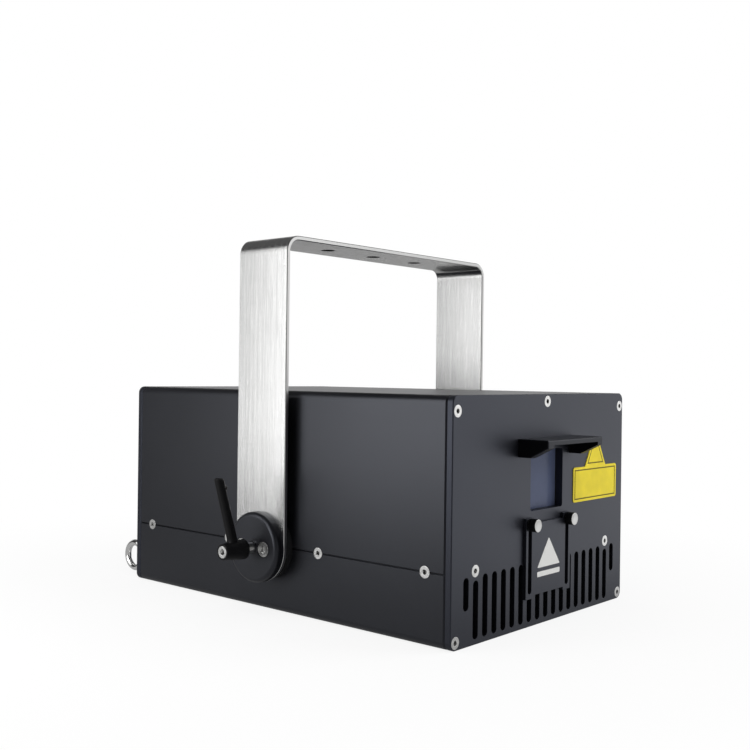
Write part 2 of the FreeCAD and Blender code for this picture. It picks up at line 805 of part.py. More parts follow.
def square_ring(inner, outer, start, thick):
    """A square frame about the beam window, from a place towards +Y."""
    def slab(size):
        return block((f"-{size} / 2", f"{size} / 2"), (start, f"{start} + {thick}"),
                     (f"{BEAM_Z} - {size} / 2", f"{BEAM_Z} + {size} / 2"))
    return cut(slab(outer), slab(inner))


def window_parts():
    """The glass, the seal in front of it and the clamp frame that holds both to the panel."""
    glass_size = "(window_size + 2 * window_rim)"
    frame_size = "(window_size + 2 * window_rim + 2 * clamp_rim)"
    glass_start = f"({FRONT_IN} + seal_thick)"
    half = f"{glass_size} / 2"
    piece(square_ring("window_size", glass_size, FRONT_IN, "seal_thick"), "window_seal")
    glass = block((f"-{half}", half), (glass_start, f"{glass_start} + window_thick"),
                  (f"{BEAM_Z} - {half}", f"{BEAM_Z} + {half}"))
    piece(glass, "aperture_window")
    wall = square_ring(glass_size, frame_size, FRONT_IN, "(seal_thick + window_thick)")
    lip = square_ring("window_size", frame_size, f"({glass_start} + window_thick)", "clamp_lip")
    piece(fuse(wall, lip), "window_frame")


def aperture_mask():
    """The sliding mask with its two long slots and the small ears that close them."""
    body = new_body("aperture_shutter")
    back = f"({FRONT} - mask_gap)"
    slot_top = f"({THUMB_Z} + mask_slot_width / 2)"
    slot_low = f"({THUMB_Z} - mask_travel - mask_slot_width / 2)"
    edge = "mask_width / 2"
    ear_in = "(2 * thumb_x - mask_width / 2)"
    top, ear_top = f"({THUMB_Z} + mask_rise)", f"({slot_top} + mask_ear)"
    low, ear_low = f"({slot_low} - mask_rim)", f"({slot_low} - mask_rim - mask_ear)"
    plate = Draft(body, "XZ_Plane", back)
    plate.outline([(f"-{edge}", ear_low), (f"-{ear_in}", ear_low), (f"-{ear_in}", low), (ear_in, low),
                   (ear_in, ear_low), (edge, ear_low), (edge, ear_top), (ear_in, ear_top),
                   (ear_in, top), (f"-{ear_in}", top), (f"-{ear_in}", ear_top), (f"-{edge}", ear_top)])
    pad(body, plate, "mask_thick")
    slots = Draft(body, "XZ_Plane", f"{back} - mask_thick")
    for side in ("-", ""):
        slots.slot(f"{side}thumb_x", slot_low, slot_top, "mask_slot_width")
    pocket(body, slots, "mask_thick")


def thumb_screws():
    """The two knurled screws that clamp the mask."""
    seat = f"({FRONT} - 2 * mask_gap - mask_thick)"
    for side, sign in (("left", "-"), ("right", "")):
        body = new_body(f"{side}_thumb_screw")
        head = Draft(body, "XZ_Plane", seat).circle("0", "0", "thumb_head_radius")
        pad(body, head, "thumb_head_length")
        dress(body, "Chamfer", lambda edge: edge.Curve.TypeId == "Part::GeomCircle", Size="edge_break")
        shank = Draft(body, "XZ_Plane", FRONT_IN).circle("0", "0", "thumb_shank_radius")
        pad(body, shank, f"{FRONT_IN} - {seat} + edge_break")
        put(body, f"{sign}thumb_x", "0", THUMB_Z)


# Bench and the parts under it

def optical_bench():
    """The thick plate across the middle, let in round the pivot blocks and behind the fans."""
    edge = f"({INNER_W} - bench_gap)"
    plate = block((f"-{edge}", edge), (FRONT_IN, REAR_IN), (BENCH_LOW, BENCH_TOP))
    fan_edge = "(fan_x + fan_size / 2 + bench_gap)"
    tools = [block((f"-{fan_edge}", fan_edge), (f"{REAR_IN} - fan_depth - bench_gap", REAR_IN),
                   (BENCH_LOW, BENCH_TOP))]
    notch_y = ("pivot_y - block_length / 2 - bench_gap", "pivot_y + block_length / 2 + bench_gap")
    inner = f"({PIVOT_IN} - bench_gap)"
    tools.append(block((f"-{edge}", f"-{inner}"), notch_y, (BENCH_LOW, BENCH_TOP)))
    tools.append(block((inner, edge), notch_y, (BENCH_LOW, BENCH_TOP)))
    for y in SIDE_SCREW_Y:
        tools.append(rod("+x", f"-{edge}", y, "bench_z", HOLE_RADIUS, "screw_length"))
        tools.append(rod("-x", edge, y, "bench_z", HOLE_RADIUS, "screw_length"))
    for sign in ("-", ""):
        tools.append(rod("+y", f"{sign}{BENCH_SCREW_X}", FRONT_IN, "bench_z", HOLE_RADIUS, "screw_length"))
        tools.append(rod("-y", f"{sign}{BENCH_SCREW_X}", REAR_IN, "bench_z", HOLE_RADIUS, "screw_length"))
    piece(cut(plate, *tools), "optical_bench")


def heat_sink():
    """The finned cooler under the bench, fins along the air stream."""
    body = new_body("heat_sink")
    end = f"({SUPPLY_START} - sink_rear_gap)"
    length = f"{end} - {FRONT_IN} - sink_front_gap"
    half = f"({PIVOT_IN} - sink_side_gap)"
    first = f"(sink_edge - {half})"
    under = f"({BENCH_LOW} - sink_base)"
    base = Draft(body, "XZ_Plane", end)
    pad(body, base.rect(f"-{half}", half, under, BENCH_LOW), length)
    fin = Draft(body, "XZ_Plane", end).rect(first, f"{first} + fin_thick", "fin_low", under)
    repeat(body, pad(body, fin, length), "LinearPattern", "X_Axis",
           Length=f"-2 * {first} - fin_thick", Occurrences="fin_count")


def power_supply():
    """The supply hung under the bench, with its terminal strip."""
    low = f"({BENCH_LOW} - supply_height)"
    case = block(("-supply_half_width", "supply_half_width"), (SUPPLY_START, SUPPLY_END), (low, BENCH_LOW))
    strip = block(("-terminal_half_width", "terminal_half_width"),
                  (SUPPLY_END, f"{SUPPLY_END} + terminal_depth"), (low, f"{low} + terminal_height"))
    piece(fuse(case, strip), "power_supply")


# Laser sources, mirrors and scanner

def laser_sources():
    """Three laser modules side by side, with the posts and mirrors that combine their beams."""
    posts = []
    mirrors = []
    plate = block(("-mirror_side / 2", "mirror_side / 2"), ("-mirror_thick / 2", "mirror_thick / 2"),
                  ("0", "mirror_side"))
    mirror_low = f"({BEAM_Z} - mirror_side / 2)"
    start = "(post_width / 2 + source_front_gap + snout_length)"
    for step, colour in ((-1, "red"), (0, "green"), (1, "blue")):
        y = f"({SOURCE_MIDDLE} + source_pitch * {step})"
        case = block((start, f"{PIVOT_IN} - source_side_gap"),
                     (f"{y} - source_width / 2", f"{y} + source_width / 2"),
                     (BENCH_TOP, f"{BENCH_TOP} + source_height"))
        snout = rod("-x", start, y, BEAM_Z, "snout_radius", "snout_length")
        piece(fuse(case, snout), f"{colour}_laser_module")
        posts.append(block(("-post_width / 2", "post_width / 2"),
                           (f"{y} - post_width / 2", f"{y} + post_width / 2"), (BENCH_TOP, mirror_low)))
        mirrors.append((Rotation(Vector(0, 0, 1), 45), "0", y, mirror_low))
    piece(group(*posts), "mirror_posts")
    piece(copies(plate, mirrors), "combining_mirrors")


def scanner():
    """The scanner block, its two motors and the small mirrors that they swing."""
    up_y = f"({SCANNER_Y} + scanner_gap)"
    wide = "(motor_radius + scanner_wall)"
    half_long = "scan_mirror_long / 2"
    cross_start = f"(-{half_long} - scan_reach)"
    upright_top = f"({BEAM_Z} - {half_long} - scan_reach)"
    cross_length = "(pillar_inset + pillar_thick + motor_tail)"
    upright_length = f"({upright_top} - {BENCH_TOP} - motor_gap)"
    pillar_x = (f"{cross_start} - pillar_inset - pillar_thick", f"{cross_start} - pillar_inset")
    foot = block((pillar_x[0], wide), (f"{SCANNER_Y} - {wide}", f"{up_y} + {wide}"),
                 (BENCH_TOP, f"{BENCH_TOP} + scanner_foot_height"))
    pillar = block(pillar_x, (f"{SCANNER_Y} - {wide}", f"{SCANNER_Y} + {wide}"),
                   (BENCH_TOP, f"{BEAM_Z} + {wide}"))
    cross = ("-x", cross_start, SCANNER_Y, BEAM_Z)
    upright = ("-z", "0", up_y, upright_top)
    seat = "motor_radius + screw_slack"
    bores = (rod(*cross, seat, cross_length), rod(*upright, seat, upright_length))
    piece(cut(fuse(foot, pillar), *bores), "scanner_block")
    for label, axis, long in (("vertical_scan_motor", cross, cross_length),
                              ("horizontal_scan_motor", upright, upright_length)):
        bearing = rod(*axis, "scan_shaft_radius + running_gap", "motor_bearing")
        piece(cut(rod(*axis, "motor_radius", long), bearing), label)
    shaft = rod("-z", "0", "0", f"scan_clip - {half_long}", "scan_shaft_radius",
                "scan_clip + scan_reach + motor_bearing - turning_gap")
    plate = block(("-scan_mirror_wide / 2", "scan_mirror_wide / 2"),
                  ("-scan_mirror_thick / 2", "scan_mirror_thick / 2"), (f"-{half_long}", half_long))
    swing = fuse(shaft, plate)
    upright_turn = Rotation(Vector(0, 0, 1), 45)
    cross_turn = TOWARDS["+x"].multiply(upright_turn)
    piece(copies(swing, [(cross_turn, "0", SCANNER_Y, BEAM_Z)]), "vertical_scan_mirror")
    piece(copies(swing, [(upright_turn, "0", up_y, BEAM_Z)]), "horizontal_scan_mirror")


def circuit_boards():
    """Three boards on standoffs, each with its larger components."""
    low = f"({BENCH_TOP} + standoff_height)"
    left = f"(board_side_gap - {PIVOT_IN})"
    right = f"({left} + board_width)"
    top = f"({low} + board_thick)"
    posts = []
    for index, name in enumerate(("scanner", "control", "diode")):
        start = f"({BOARD_START} + ({BOARD_LENGTH} + board_gap) * {index})"
        end = f"({start} + {BOARD_LENGTH})"
        run = (f"{start} + part_end_gap", f"{end} - part_end_gap")
        board = block((left, right), (start, end), (low, top))
        header = block((f"{left} + part_inset", f"{left} + part_inset + part_thick"), run,
                       (top, f"{top} + header_height"))
        cooler = block((f"{right} - part_inset - part_thick", f"{right} - part_inset"), run,
                       (top, f"{top} + cooler_height"))
        chip_x = f"({left} + board_width / 2 - chip_side / 2)"
        chip = block((chip_x, f"{chip_x} + chip_side"), (run[0], f"{run[0]} + chip_side"),
                     (top, f"{top} + chip_height"))
        piece(fuse(board, header, cooler, chip), f"{name}_board")
        for x in (f"{left} + standoff_inset", f"{right} - standoff_inset"):
            for y in (f"{start} + standoff_inset", f"{end} - standoff_inset"):
                posts.append(rod("+z", x, y, BENCH_TOP, "standoff_radius", "standoff_height"))
    piece(group(*posts), "board_standoffs")


# Fans

def fan(side, sign):
    """A square fan: its frame with a pin on four struts, and the bladed rotor that turns on it."""
    x = f"{sign}fan_x"
    start = f"({REAR_IN} - fan_depth)"
    base_end = f"({start} + fan_base_thick)"
    half = "fan_size / 2"
    across = (f"{x} - {half}", f"{x} + {half}")
    upright = (f"{FAN_Z} - {half}", f"{FAN_Z} + {half}")
    case = block(across, (start, REAR_IN), upright)
    tube = cut(case, rod("+y", x, start, FAN_Z, "fan_bore_radius", "fan_depth"))
    struts = [block(across, (start, base_end), (f"{FAN_Z} - fan_strut / 2", f"{FAN_Z} + fan_strut / 2")),
              block((f"{x} - fan_strut / 2", f"{x} + fan_strut / 2"), (start, base_end), upright)]
    base = rod("+y", x, start, FAN_Z, "fan_hub_radius", "fan_base_thick")
    pin = rod("+y", x, start, FAN_Z, "fan_pin_radius", "fan_depth - turning_gap")
    piece(fuse(tube, *struts, base, pin), f"{side}_fan_frame")
    body = new_body(f"{side}_fan_rotor")
    hub_length = "(fan_depth - fan_base_thick - 2 * turning_gap)"
    pad(body, Draft(body, "XZ_Plane", hub_length).circle("0", "0", "fan_hub_radius"), hub_length)
    blade = body.newObject("PartDesign::AdditiveBox", "Blade")
    bind(blade, Length="fan_tip_radius - fan_hub_radius + fan_blade_root", Width="fan_blade_depth",
         Height="fan_blade_thick")
    put(blade, "fan_hub_radius - fan_blade_root",
        f"{hub_length} / 2 - fan_blade_depth * cos(fan_blade_pitch) / 2",
        "-fan_blade_depth * sin(fan_blade_pitch) / 2", Rotation(Vector(1, 0, 0), value("fan_blade_pitch")))
    bind(blade, Placement__Rotation__Angle="fan_blade_pitch")
    doc.recompute()
    repeat(body, blade, "PolarPattern", "Y_Axis", Occurrences="fan_blade_count")
    drill(body, "+y", "0", "0", "0", "fan_pin_radius + running_gap", hub_length)
    put(body, x, f"{base_end} + turning_gap", FAN_Z)


# Rear connectors

def sides(middle, size, inset="0"):
    """The two sides of something centred on a place."""
    return (f"{middle} - {size} / 2 + {inset}", f"{middle} + {size} / 2 - {inset}")


def round_socket(label, core):
    """A round chassis socket: pins in an open shell, a core with three contacts, or a data port."""
    x, z = ROUND_SOCKETS[label]
    face = f"({REAR} + flange_thick)"
    plate = block(sides(x, "socket_flange_x"), (REAR, face), sides(z, "socket_flange_z"))
    body = fuse(plate, rod("-y", x, REAR, z, "socket_shell_radius", "socket_shell_length"))
    if core == "port":
        opening = block(sides(x, "port_width"), (f"{face} - port_depth", face), sides(z, "port_height"))
        return piece(cut(body, opening), label)
    shell = cut(body, rod("-y", x, face, z, "socket_mouth_radius", "socket_mouth_depth"))
    contacts = []
    for angle in (-50, 90, 230):
        contacts.append((f"{x} + pin_circle_radius * cos({angle})",
                         f"{z} + pin_circle_radius * sin({angle})"))
    if core == "pins":
        root = f"({face} - socket_mouth_depth - pin_radius)"
        pins = [rod("+y", px, root, pz, "pin_radius", "pin_length + pin_radius") for px, pz in contacts]
        return piece(fuse(shell, *pins), label)
    middle = rod("-y", x, face, z, "socket_core_radius", "socket_mouth_depth + pin_radius")
    holes = [rod("-y", px, face, pz, "pin_radius + screw_slack", "pin_length") for px, pz in contacts]
    return piece(cut(fuse(shell, middle), *holes), label)


def socket_screws():
    """Two small pan-head screws on each round socket, on opposite corners of its flange."""
    face = f"({REAR} + flange_thick)"
    screws = []
    for x, z in ROUND_SOCKETS.values():
        for sign, other in (("-", "+"), ("+", "-")):
            px = f"{x} {sign} (socket_flange_x / 2 - flange_screw_inset)"
            pz = f"{z} {other} (socket_flange_z / 2 - flange_screw_inset)"
            head = rod("+y", px, face, pz, "flange_screw_radius", "flange_screw_thick")
            key = hexagon("-y", px, f"{face} + flange_screw_thick", pz, "flange_key_radius",
                          "flange_key_depth")
            screws.append(cut(head, key))
    piece(group(*screws), "socket_screws")


def mains_inlet():
    """The recessed mains inlet with its three blades."""
    x, z = INLET_X, LOWER_ROW
    face = f"({REAR} + flange_thick)"
    plate = block(sides(x, "inlet_flange_x"), (REAR, face), sides(z, "inlet_flange_z"))
    case = block(sides(x, "inlet_body_x"), (f"{REAR} - inlet_depth", REAR), sides(z, "inlet_body_z"))
    floor = f"({face} - inlet_well)"
    well = block(sides(x, "inlet_body_x", "inlet_wall"), (floor, face),
                 sides(z, "inlet_body_z", "inlet_wall"))
    blades = []
    for step, rise in ((-1, "-blade_rise"), (0, "+ blade_rise"), (1, "-blade_rise")):
        blades.append(block(sides(f"{x} + blade_pitch * {step}", "blade_thick"),
                            (f"{floor} - blade_thick", f"{floor} + blade_length"),
                            sides(f"{z} {rise}", "blade_wide")))
    piece(fuse(cut(fuse(plate, case), well), *blades), "mains_inlet")


def power_switch():
    """The mains switch: a framed well and the rocker that tips in it."""
    x, z = SWITCH_X, LOWER_ROW
    face = f"({REAR} + flange_thick)"
    plate = block(sides(x, "switch_body_x", "-switch_rim"), (REAR, face),
                  sides(z, "switch_body_z", "-switch_rim"))
    case = block(sides(x, "switch_body_x"), (f"{REAR} - switch_depth", REAR), sides(z, "switch_body_z"))
    well = block(sides(x, "switch_body_x", "switch_wall"), (f"{face} - switch_well", face),
                 sides(z, "switch_body_z", "switch_wall"))
    piece(cut(fuse(plate, case), well), "power_switch_body")
    body = new_body("power_rocker")
    width = "(switch_body_x - 2 * switch_wall - 2 * turning_gap)"
    half = "(switch_body_z / 2 - switch_wall - rocker_end_gap)"
    profile = Draft(body, "YZ_Plane", f"-{width} / 2")
    profile.outline([("rocker_edge_out", f"-{half}"), ("rocker_valley_out", "0"), ("rocker_edge_out", half),
                     ("-rocker_edge_in", half), ("-rocker_keel_in", "0"), ("-rocker_edge_in", f"-{half}")])
    pad(body, profile, width)
    put(body, x, REAR, z, Rotation(Vector(1, 0, 0), value("rocker_tilt")))
    bind(body, Placement__Rotation__Angle="rocker_tilt")


def key_switch():
    """The lock: a flanged body and the barrel that turns in it."""
    x, z = KEY_X, LOWER_ROW
    face = f"({REAR} + flange_thick)"
    front = f"({face} + key_proud)"
    body = fuse(rod("+y", x, REAR, z, "key_flange_radius", "flange_thick"),
                rod("-y", x, REAR, z, "key_body_radius", "key_depth"))
    piece(cut(body, rod("-y", x, face, z, "key_barrel_radius + running_gap", "key_well")), "key_switch_body")
    barrel = rod("-y", x, front, z, "key_barrel_radius", "key_proud + key_well - turning_gap")
    keyway = block(sides(x, "keyway_wide"), (f"{front} - keyway_depth", front), sides(z, "keyway_tall"))
    piece(cut(barrel, keyway), "key_barrel")


def data_socket():
    """The wide data socket with two rows of contacts and its jack screws."""
    body = new_body("scan_data_socket")
    half_x, half_z = "data_shell_x / 2", "data_shell_z / 2"
    plate = Draft(body, "XZ_Plane", f"{REAR} + data_flange_thick")
    plate.rect("-data_flange_x / 2", "data_flange_x / 2", "-data_flange_z / 2", "data_flange_z / 2")
    pad(body, plate, "data_flange_thick")
    face = f"({REAR} + data_flange_thick + data_shell_out)"
    shell = Draft(body, "XZ_Plane", face)
    foot = f"({half_x} - data_shell_taper)"
    shell.outline([(f"-{foot}", f"-{half_z}"), (foot, f"-{half_z}"), (half_x, half_z),
                   (f"-{half_x}", half_z)])
    pad(body, shell, "data_flange_thick + data_shell_out + data_shell_in")
    for row_z, gaps in (("contact_row", "(contact_count - 1)"), ("-contact_row", "(contact_count - 2)")):
        hole = Draft(body, "XZ_Plane", f"{face} - contact_depth")
        hole.circle(f"-contact_pitch * {gaps} / 2", row_z, "contact_radius")
        repeat(body, pocket(body, hole, "contact_depth"), "LinearPattern", "X_Axis",
               Length=f"contact_pitch * {gaps}", Occurrences=f"{gaps} + 1")
    jacks = Draft(body, "XZ_Plane", f"{REAR} + jack_length")
    for sign in ("-", ""):
        jacks.circle(f"{sign}(data_flange_x / 2 - jack_inset)", "0", "jack_radius")
    pad(body, jacks, "jack_length")
    put(body, DATA_X, "0", UPPER_ROW)


def status_lights():
    """Three small indicator lamps."""
    lamps = []
    for x in LIGHTS:
        lamps.append(rod("-y", x, f"{REAR} + light_proud", LOWER_ROW, "light_radius",
                         "light_proud + panel_thick + light_tail"))
    piece(group(*lamps), "status_lights")


def safety_eye():
    """The eye bolt for the safety bond, and its nut inside the panel."""
    ring = doc.addObject("Part::Torus", "Ring")
    bind(ring, Radius1="eye_radius", Radius2="eye_wire_radius")
    put(ring, EYE_X, f"{REAR} + eye_offset", "eye_z", TOWARDS["+x"])
    collar = rod("+y", EYE_X, REAR, "eye_z", "eye_collar_radius", "eye_collar_thick")
    neck = rod("+y", EYE_X, REAR, "eye_z", "eye_neck_radius", "eye_offset - eye_radius")
    shank = rod("-y", EYE_X, REAR, "eye_z", "eye_shank_radius", "panel_thick + eye_shank_tail")
    nut = cut(hexagon("-y", EYE_X, REAR_IN, "eye_z", "eye_nut_radius", "eye_nut_thick"),
              rod("-y", EYE_X, REAR_IN, "eye_z", "eye_shank_radius + screw_slack", "eye_nut_thick"))
    piece(group(fuse(ring, collar, neck, shank), nut), "safety_eye")


# Yoke and its clamps: built with the pivot axis along local +X, then set on each side

def on_pivot(thing, label, side):
    """Sets a part on the pivot axis, facing out of its side of the housing."""
    piece(thing, f"{side}_{label}")
    put(thing, "0", "pivot_y", "bench_z", HALF_TURN if side == "left" else Rotation())


def pivot_parts(side):
    """The threaded block inside the wall and the spacer between wall and yoke."""
    half_y, half_z = "block_length / 2", "block_height / 2"
    body = block((PIVOT_IN, INNER_W), (f"-{half_y}", half_y), (f"-{half_z}", half_z))
    spigot = rod("+x", INNER_W, "0", "0", "spigot_radius", "spigot_length")
    thread = rod("+x", PIVOT_IN, "0", "0", "stud_radius + running_gap",
                 "block_thick + spigot_length")
    on_pivot(cut(fuse(body, spigot), thread), "pivot_block", side)
    washer = rod("+x", HALF_W, "0", "0", "spacer_radius", "yoke_gap - turning_gap")
    recess = rod("+x", HALF_W, "0", "0", "spigot_radius + screw_slack",
                 "spigot_length - wall_thick + screw_slack")
    passage = rod("+x", HALF_W, "0", "0", "stud_radius + stud_slack", "yoke_gap")
    on_pivot(cut(washer, recess, passage), "pivot_spacer", side)


def mounting_yoke():
    """The bent strip: two arms with round ends and a crossbar with three clamp holes."""
    body = new_body("mounting_bracket")
    low = "-yoke_width / 2"
    strap = Draft(body, "XZ_Plane", "yoke_width / 2")
    under = "(yoke_reach - yoke_thick)"
    strap.outline([(f"-{YOKE_OUTER}", low), (f"-{YOKE_INNER}", low), (f"-{YOKE_INNER}", under),
                   (YOKE_INNER, under), (YOKE_INNER, low), (YOKE_OUTER, low),
                   (YOKE_OUTER, "yoke_reach"), (f"-{YOKE_OUTER}", "yoke_reach")])
    pad(body, strap, "yoke_width")
    dress(body, "Fillet", corner_of(value(YOKE_INNER), value(under)), Radius="yoke_bend")
    dress(body, "Fillet", corner_of(value(YOKE_OUTER), value("yoke_reach")), Radius="yoke_bend + yoke_thick")
    for sign in ("-", ""):
        corner = Draft(body, "YZ_Plane", YOKE_OUTER)
        round_end(corner, sign)
        pocket(body, corner, f"2 * {YOKE_OUTER}")
    dress(body, "Chamfer", flat_at("y", value(low), -value(low)), Size="yoke_edge")
    drill(body, "+x", f"-{YOKE_OUTER}", "0", "0", "stud_radius + stud_slack", f"2 * {YOKE_OUTER}")
    for sign in ("-", ""):
        drill(body, "+x", f"-{YOKE_OUTER}", f"{sign}disc_screw_offset", "0",
              "disc_screw_radius + screw_slack", f"2 * {YOKE_OUTER}")
    for step in (-1, 0, 1):
        drill(body, "-z", f"clamp_hole_pitch * {step}", "0", "yoke_reach", "clamp_hole_radius", "yoke_thick")
    put(body, "0", "pivot_y", "bench_z")


def round_end(draft, sign):
    """The waste outside one quarter of an arm's round end."""
    half = "yoke_width / 2"
    radius = value(half)
    flip = -1 if sign == "-" else 1
    side = Vector(flip * radius, 0, 0)
    foot = Vector(0, -radius, 0)
    waste = Vector(flip * radius, -radius, 0)
    arc = Part.Arc(foot, Vector(flip * radius * 0.5 ** 0.5, -radius * 0.5 ** 0.5, 0), side)
    sketch = draft.sketch
    curve = sketch.addGeometry(arc, False)
    start, end = (1, 2) if flip == 1 else (2, 1)
    upright = sketch.addGeometry(Part.LineSegment(side, waste), False)
    level = sketch.addGeometry(Part.LineSegment(waste, foot), False)
    sketch.addConstraint(Sketcher.Constraint("Tangent", curve, end, upright, 1))
    sketch.addConstraint(Sketcher.Constraint("Coincident", upright, 2, level, 1))
    sketch.addConstraint(Sketcher.Constraint("Tangent", level, 2, curve, start))
    draft.fix(curve, 3, "0", "0")
    draft.fix(upright, 2, f"{sign}{half}", f"-{half}")
    draft.rule("Radius", half, curve)


def brake_disc(side):
    """The round-edged disc bolted to the outside of an arm."""
    body = new_body(f"{side}_brake_disc")
    pad(body, Draft(body, "YZ_Plane", YOKE_OUTER).circle("0", "0", "disc_radius"), "disc_thick")
    dress(body, "Fillet", flat_at("x", value(DISC_FACE)), Radius="disc_round")
    drill(body, "+x", YOKE_OUTER, "0", "0", "stud_radius + stud_slack", "disc_thick")
    for sign in ("-", ""):
        y = f"{sign}disc_screw_offset"
        drill(body, "+x", YOKE_OUTER, y, "0", "disc_screw_radius + screw_slack", "disc_thick")
        drill(body, "-x", DISC_FACE, y, "0", "disc_head_radius + disc_head_gap",
              "disc_head_thick + screw_slack")
    put(body, "0", "pivot_y", "bench_z", HALF_TURN if side == "left" else Rotation())


def brake_disc_screws():
    """The low-head screws that hold each disc to its arm."""
    seat = f"({DISC_FACE} - disc_head_thick - screw_slack)"
    head = rod("+x", seat, "0", "0", "disc_head_radius", "disc_head_thick")
    shank = rod("-x", seat, "0", "0", "disc_screw_radius", f"{seat} - {YOKE_INNER}")
    key = hexagon("-x", f"{seat} + disc_head_thick", "0", "0", "disc_key_radius", "disc_key_depth")
    screw = cut(fuse(head, shank), key)
    places = []
    for turn in (HALF_TURN, Rotation()):
        for sign in ("-", "+"):
            places.append((turn, "0", f"pivot_y {sign} disc_screw_offset", "bench_z"))
    piece(copies(screw, places), "brake_disc_screws")


def lever_stud(side):
    """The threaded stud that the lever turns, with a hex socket in its outer end."""
    stud = rod("+x", PIVOT_IN, "0", "0", "stud_radius", f"{HUB_END} - {PIVOT_IN}")
    key = hexagon("-x", HUB_END, "0", "0", "stud_key_radius", "stud_key_depth")
    on_pivot(cut(stud, key), "lever_stud", side)


def clamp_lever(side):
    """The lever: a tapered hub and an arm that leans outwards."""
    body = new_body(f"{side}_clamp_lever")
    bore = "(stud_radius + lever_bore_gap)"
    hub = Draft(body, "XZ_Plane")
    hub.outline([(HUB_START, bore), (HUB_START, "lever_foot_radius"),
                 (f"{HUB_START} + lever_foot_length", "lever_foot_radius"), (HUB_END, "lever_nose_radius"),
                 (HUB_END, bore)])
    turned = body.newObject("PartDesign::Revolution", "Hub")
    turned.Profile = hub.sketch
    turned.ReferenceAxis = (datum(body, "X_Axis"), [""])
    turned.Angle = 360
    doc.recompute()
    dress(body, "Chamfer", flat_at("x", value(HUB_START), value(HUB_END)), Size="edge_break")
    root_z = "(stud_radius + lever_bore_gap + edge_break)"
    root_x = f"({HUB_START} + arm_root_out)"
    tip_x = f"({HUB_START} + arm_root_out + arm_lean_out)"
    root = Draft(body, "XY_Plane", root_z)
    root.rect(f"{root_x} - arm_root_wide / 2", f"{root_x} + arm_root_wide / 2", "-arm_root_deep / 2",
              "arm_root_deep / 2")
    tip = Draft(body, "XY_Plane", "arm_height")
    tip.rect(f"{tip_x} - arm_tip_wide / 2", f"{tip_x} + arm_tip_wide / 2", "-arm_tip_deep / 2",
             "arm_tip_deep / 2")
    arm = body.newObject("PartDesign::AdditiveLoft", "Arm")
    arm.Profile = root.sketch
    arm.Sections = [tip.sketch]
    arm.Ruled = True
    doc.recompute()
    shoulder = value("lever_foot_radius")
    dress(body, "Fillet", lambda edge: edge.BoundBox.ZLength > shoulder * 2 and edge.BoundBox.ZMin > 0,
          Radius="arm_round")
    dress(body, "Fillet", flat_at("z", value("arm_height")), Radius="arm_tip_round")
    nib = body.newObject("PartDesign::AdditiveSphere", "Nib")
    bind(nib, Radius="nib_radius")
    put(nib, f"{tip_x} - arm_lean_out * nib_drop / (arm_height - {root_z}) - arm_tip_wide / 2", "0",
        "arm_height - nib_drop")
    put(body, "0", "pivot_y", "bench_z", HALF_TURN if side == "left" else Rotation())


def build():
    """Every sub-part of the projector."""
    housing_sleeve()
    front_panel()
    rear_panel()
    panel_screws()
    aperture_hood()
    hood_screws()
    window_parts()
    aperture_mask()
    thumb_screws()
    optical_bench()
    heat_sink()
    power_supply()
    laser_sources()
    scanner()
    circuit_boards()
    fan("left", "-")
    fan("right", "")
    round_socket("dmx_in_socket", "pins")
    round_socket("dmx_out_socket", "core")
    round_socket("network_socket", "port")
    round_socket("interlock_socket", "core")
    socket_screws()
    mains_inlet()
    power_switch()
    key_switch()
    data_socket()
    status_lights()
    safety_eye()
    mounting_yoke()
    brake_disc_screws()
    for side in ("left", "right"):
        pivot_parts(side)
        brake_disc(side)
        lever_stud(side)
        clamp_lever(side)


def check():
    """Stops on any object that failed and any sub-part that isn't whole."""
    for thing in doc.Objects:
        if "Invalid" in thing.State or "Error" in thing.State:
            raise RuntimeError(f"{thing.Label} failed: {thing.State}")
    for thing in pieces:
        if thing.Shape.isNull() or not thing.Shape.isValid() or not thing.Shape.Solids:
            raise RuntimeError(f"{thing.Label} has no sound shape")


def export():
    """Writes each sub-part to its own file."""
    os.makedirs("parts", exist_ok=True)
    for thing in pieces:
        thing.Shape.exportStep(f"parts/{thing.Label}.step")


build()
doc.recompute()
check()
export()
print(len(pieces), "sub-parts")
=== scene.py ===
"""Laser show projector: finishes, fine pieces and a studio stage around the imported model.

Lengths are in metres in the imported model's frame: the front faces -Y and +Z is up.
"""
import json
import math

import bmesh
import bpy
from mathutils import Matrix, Vector


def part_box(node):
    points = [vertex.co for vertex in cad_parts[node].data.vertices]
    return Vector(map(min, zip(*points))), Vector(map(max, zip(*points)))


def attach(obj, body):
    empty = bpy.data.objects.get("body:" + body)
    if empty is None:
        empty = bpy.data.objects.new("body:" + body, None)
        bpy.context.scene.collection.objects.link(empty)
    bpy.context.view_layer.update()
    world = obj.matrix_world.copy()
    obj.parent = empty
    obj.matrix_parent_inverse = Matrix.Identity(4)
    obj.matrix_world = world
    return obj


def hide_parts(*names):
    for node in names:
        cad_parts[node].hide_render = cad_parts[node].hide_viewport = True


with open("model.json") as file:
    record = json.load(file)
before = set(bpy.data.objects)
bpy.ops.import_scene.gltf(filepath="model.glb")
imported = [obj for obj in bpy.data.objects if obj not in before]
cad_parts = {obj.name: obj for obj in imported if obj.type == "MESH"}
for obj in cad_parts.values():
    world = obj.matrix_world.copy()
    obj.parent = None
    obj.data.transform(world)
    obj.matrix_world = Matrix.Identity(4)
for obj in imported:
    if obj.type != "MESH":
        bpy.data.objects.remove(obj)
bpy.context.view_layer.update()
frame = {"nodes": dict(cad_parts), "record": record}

bl_info = {
    "name": "Laser Show Projector",
    "version": (1, 0, 0),
    "blender": (4, 5, 0),
    "location": "3D View > Sidebar > Projector",
    "description": "Finishes, fine pieces and a studio stage for a laser show projector",
    "category": "Object",
}

MM = 0.001
NEAR = 0.01 * MM  # points closer than this count as being in the same place
SIDES = {"left": -1, "right": 1}
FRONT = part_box("front_panel")[0].y


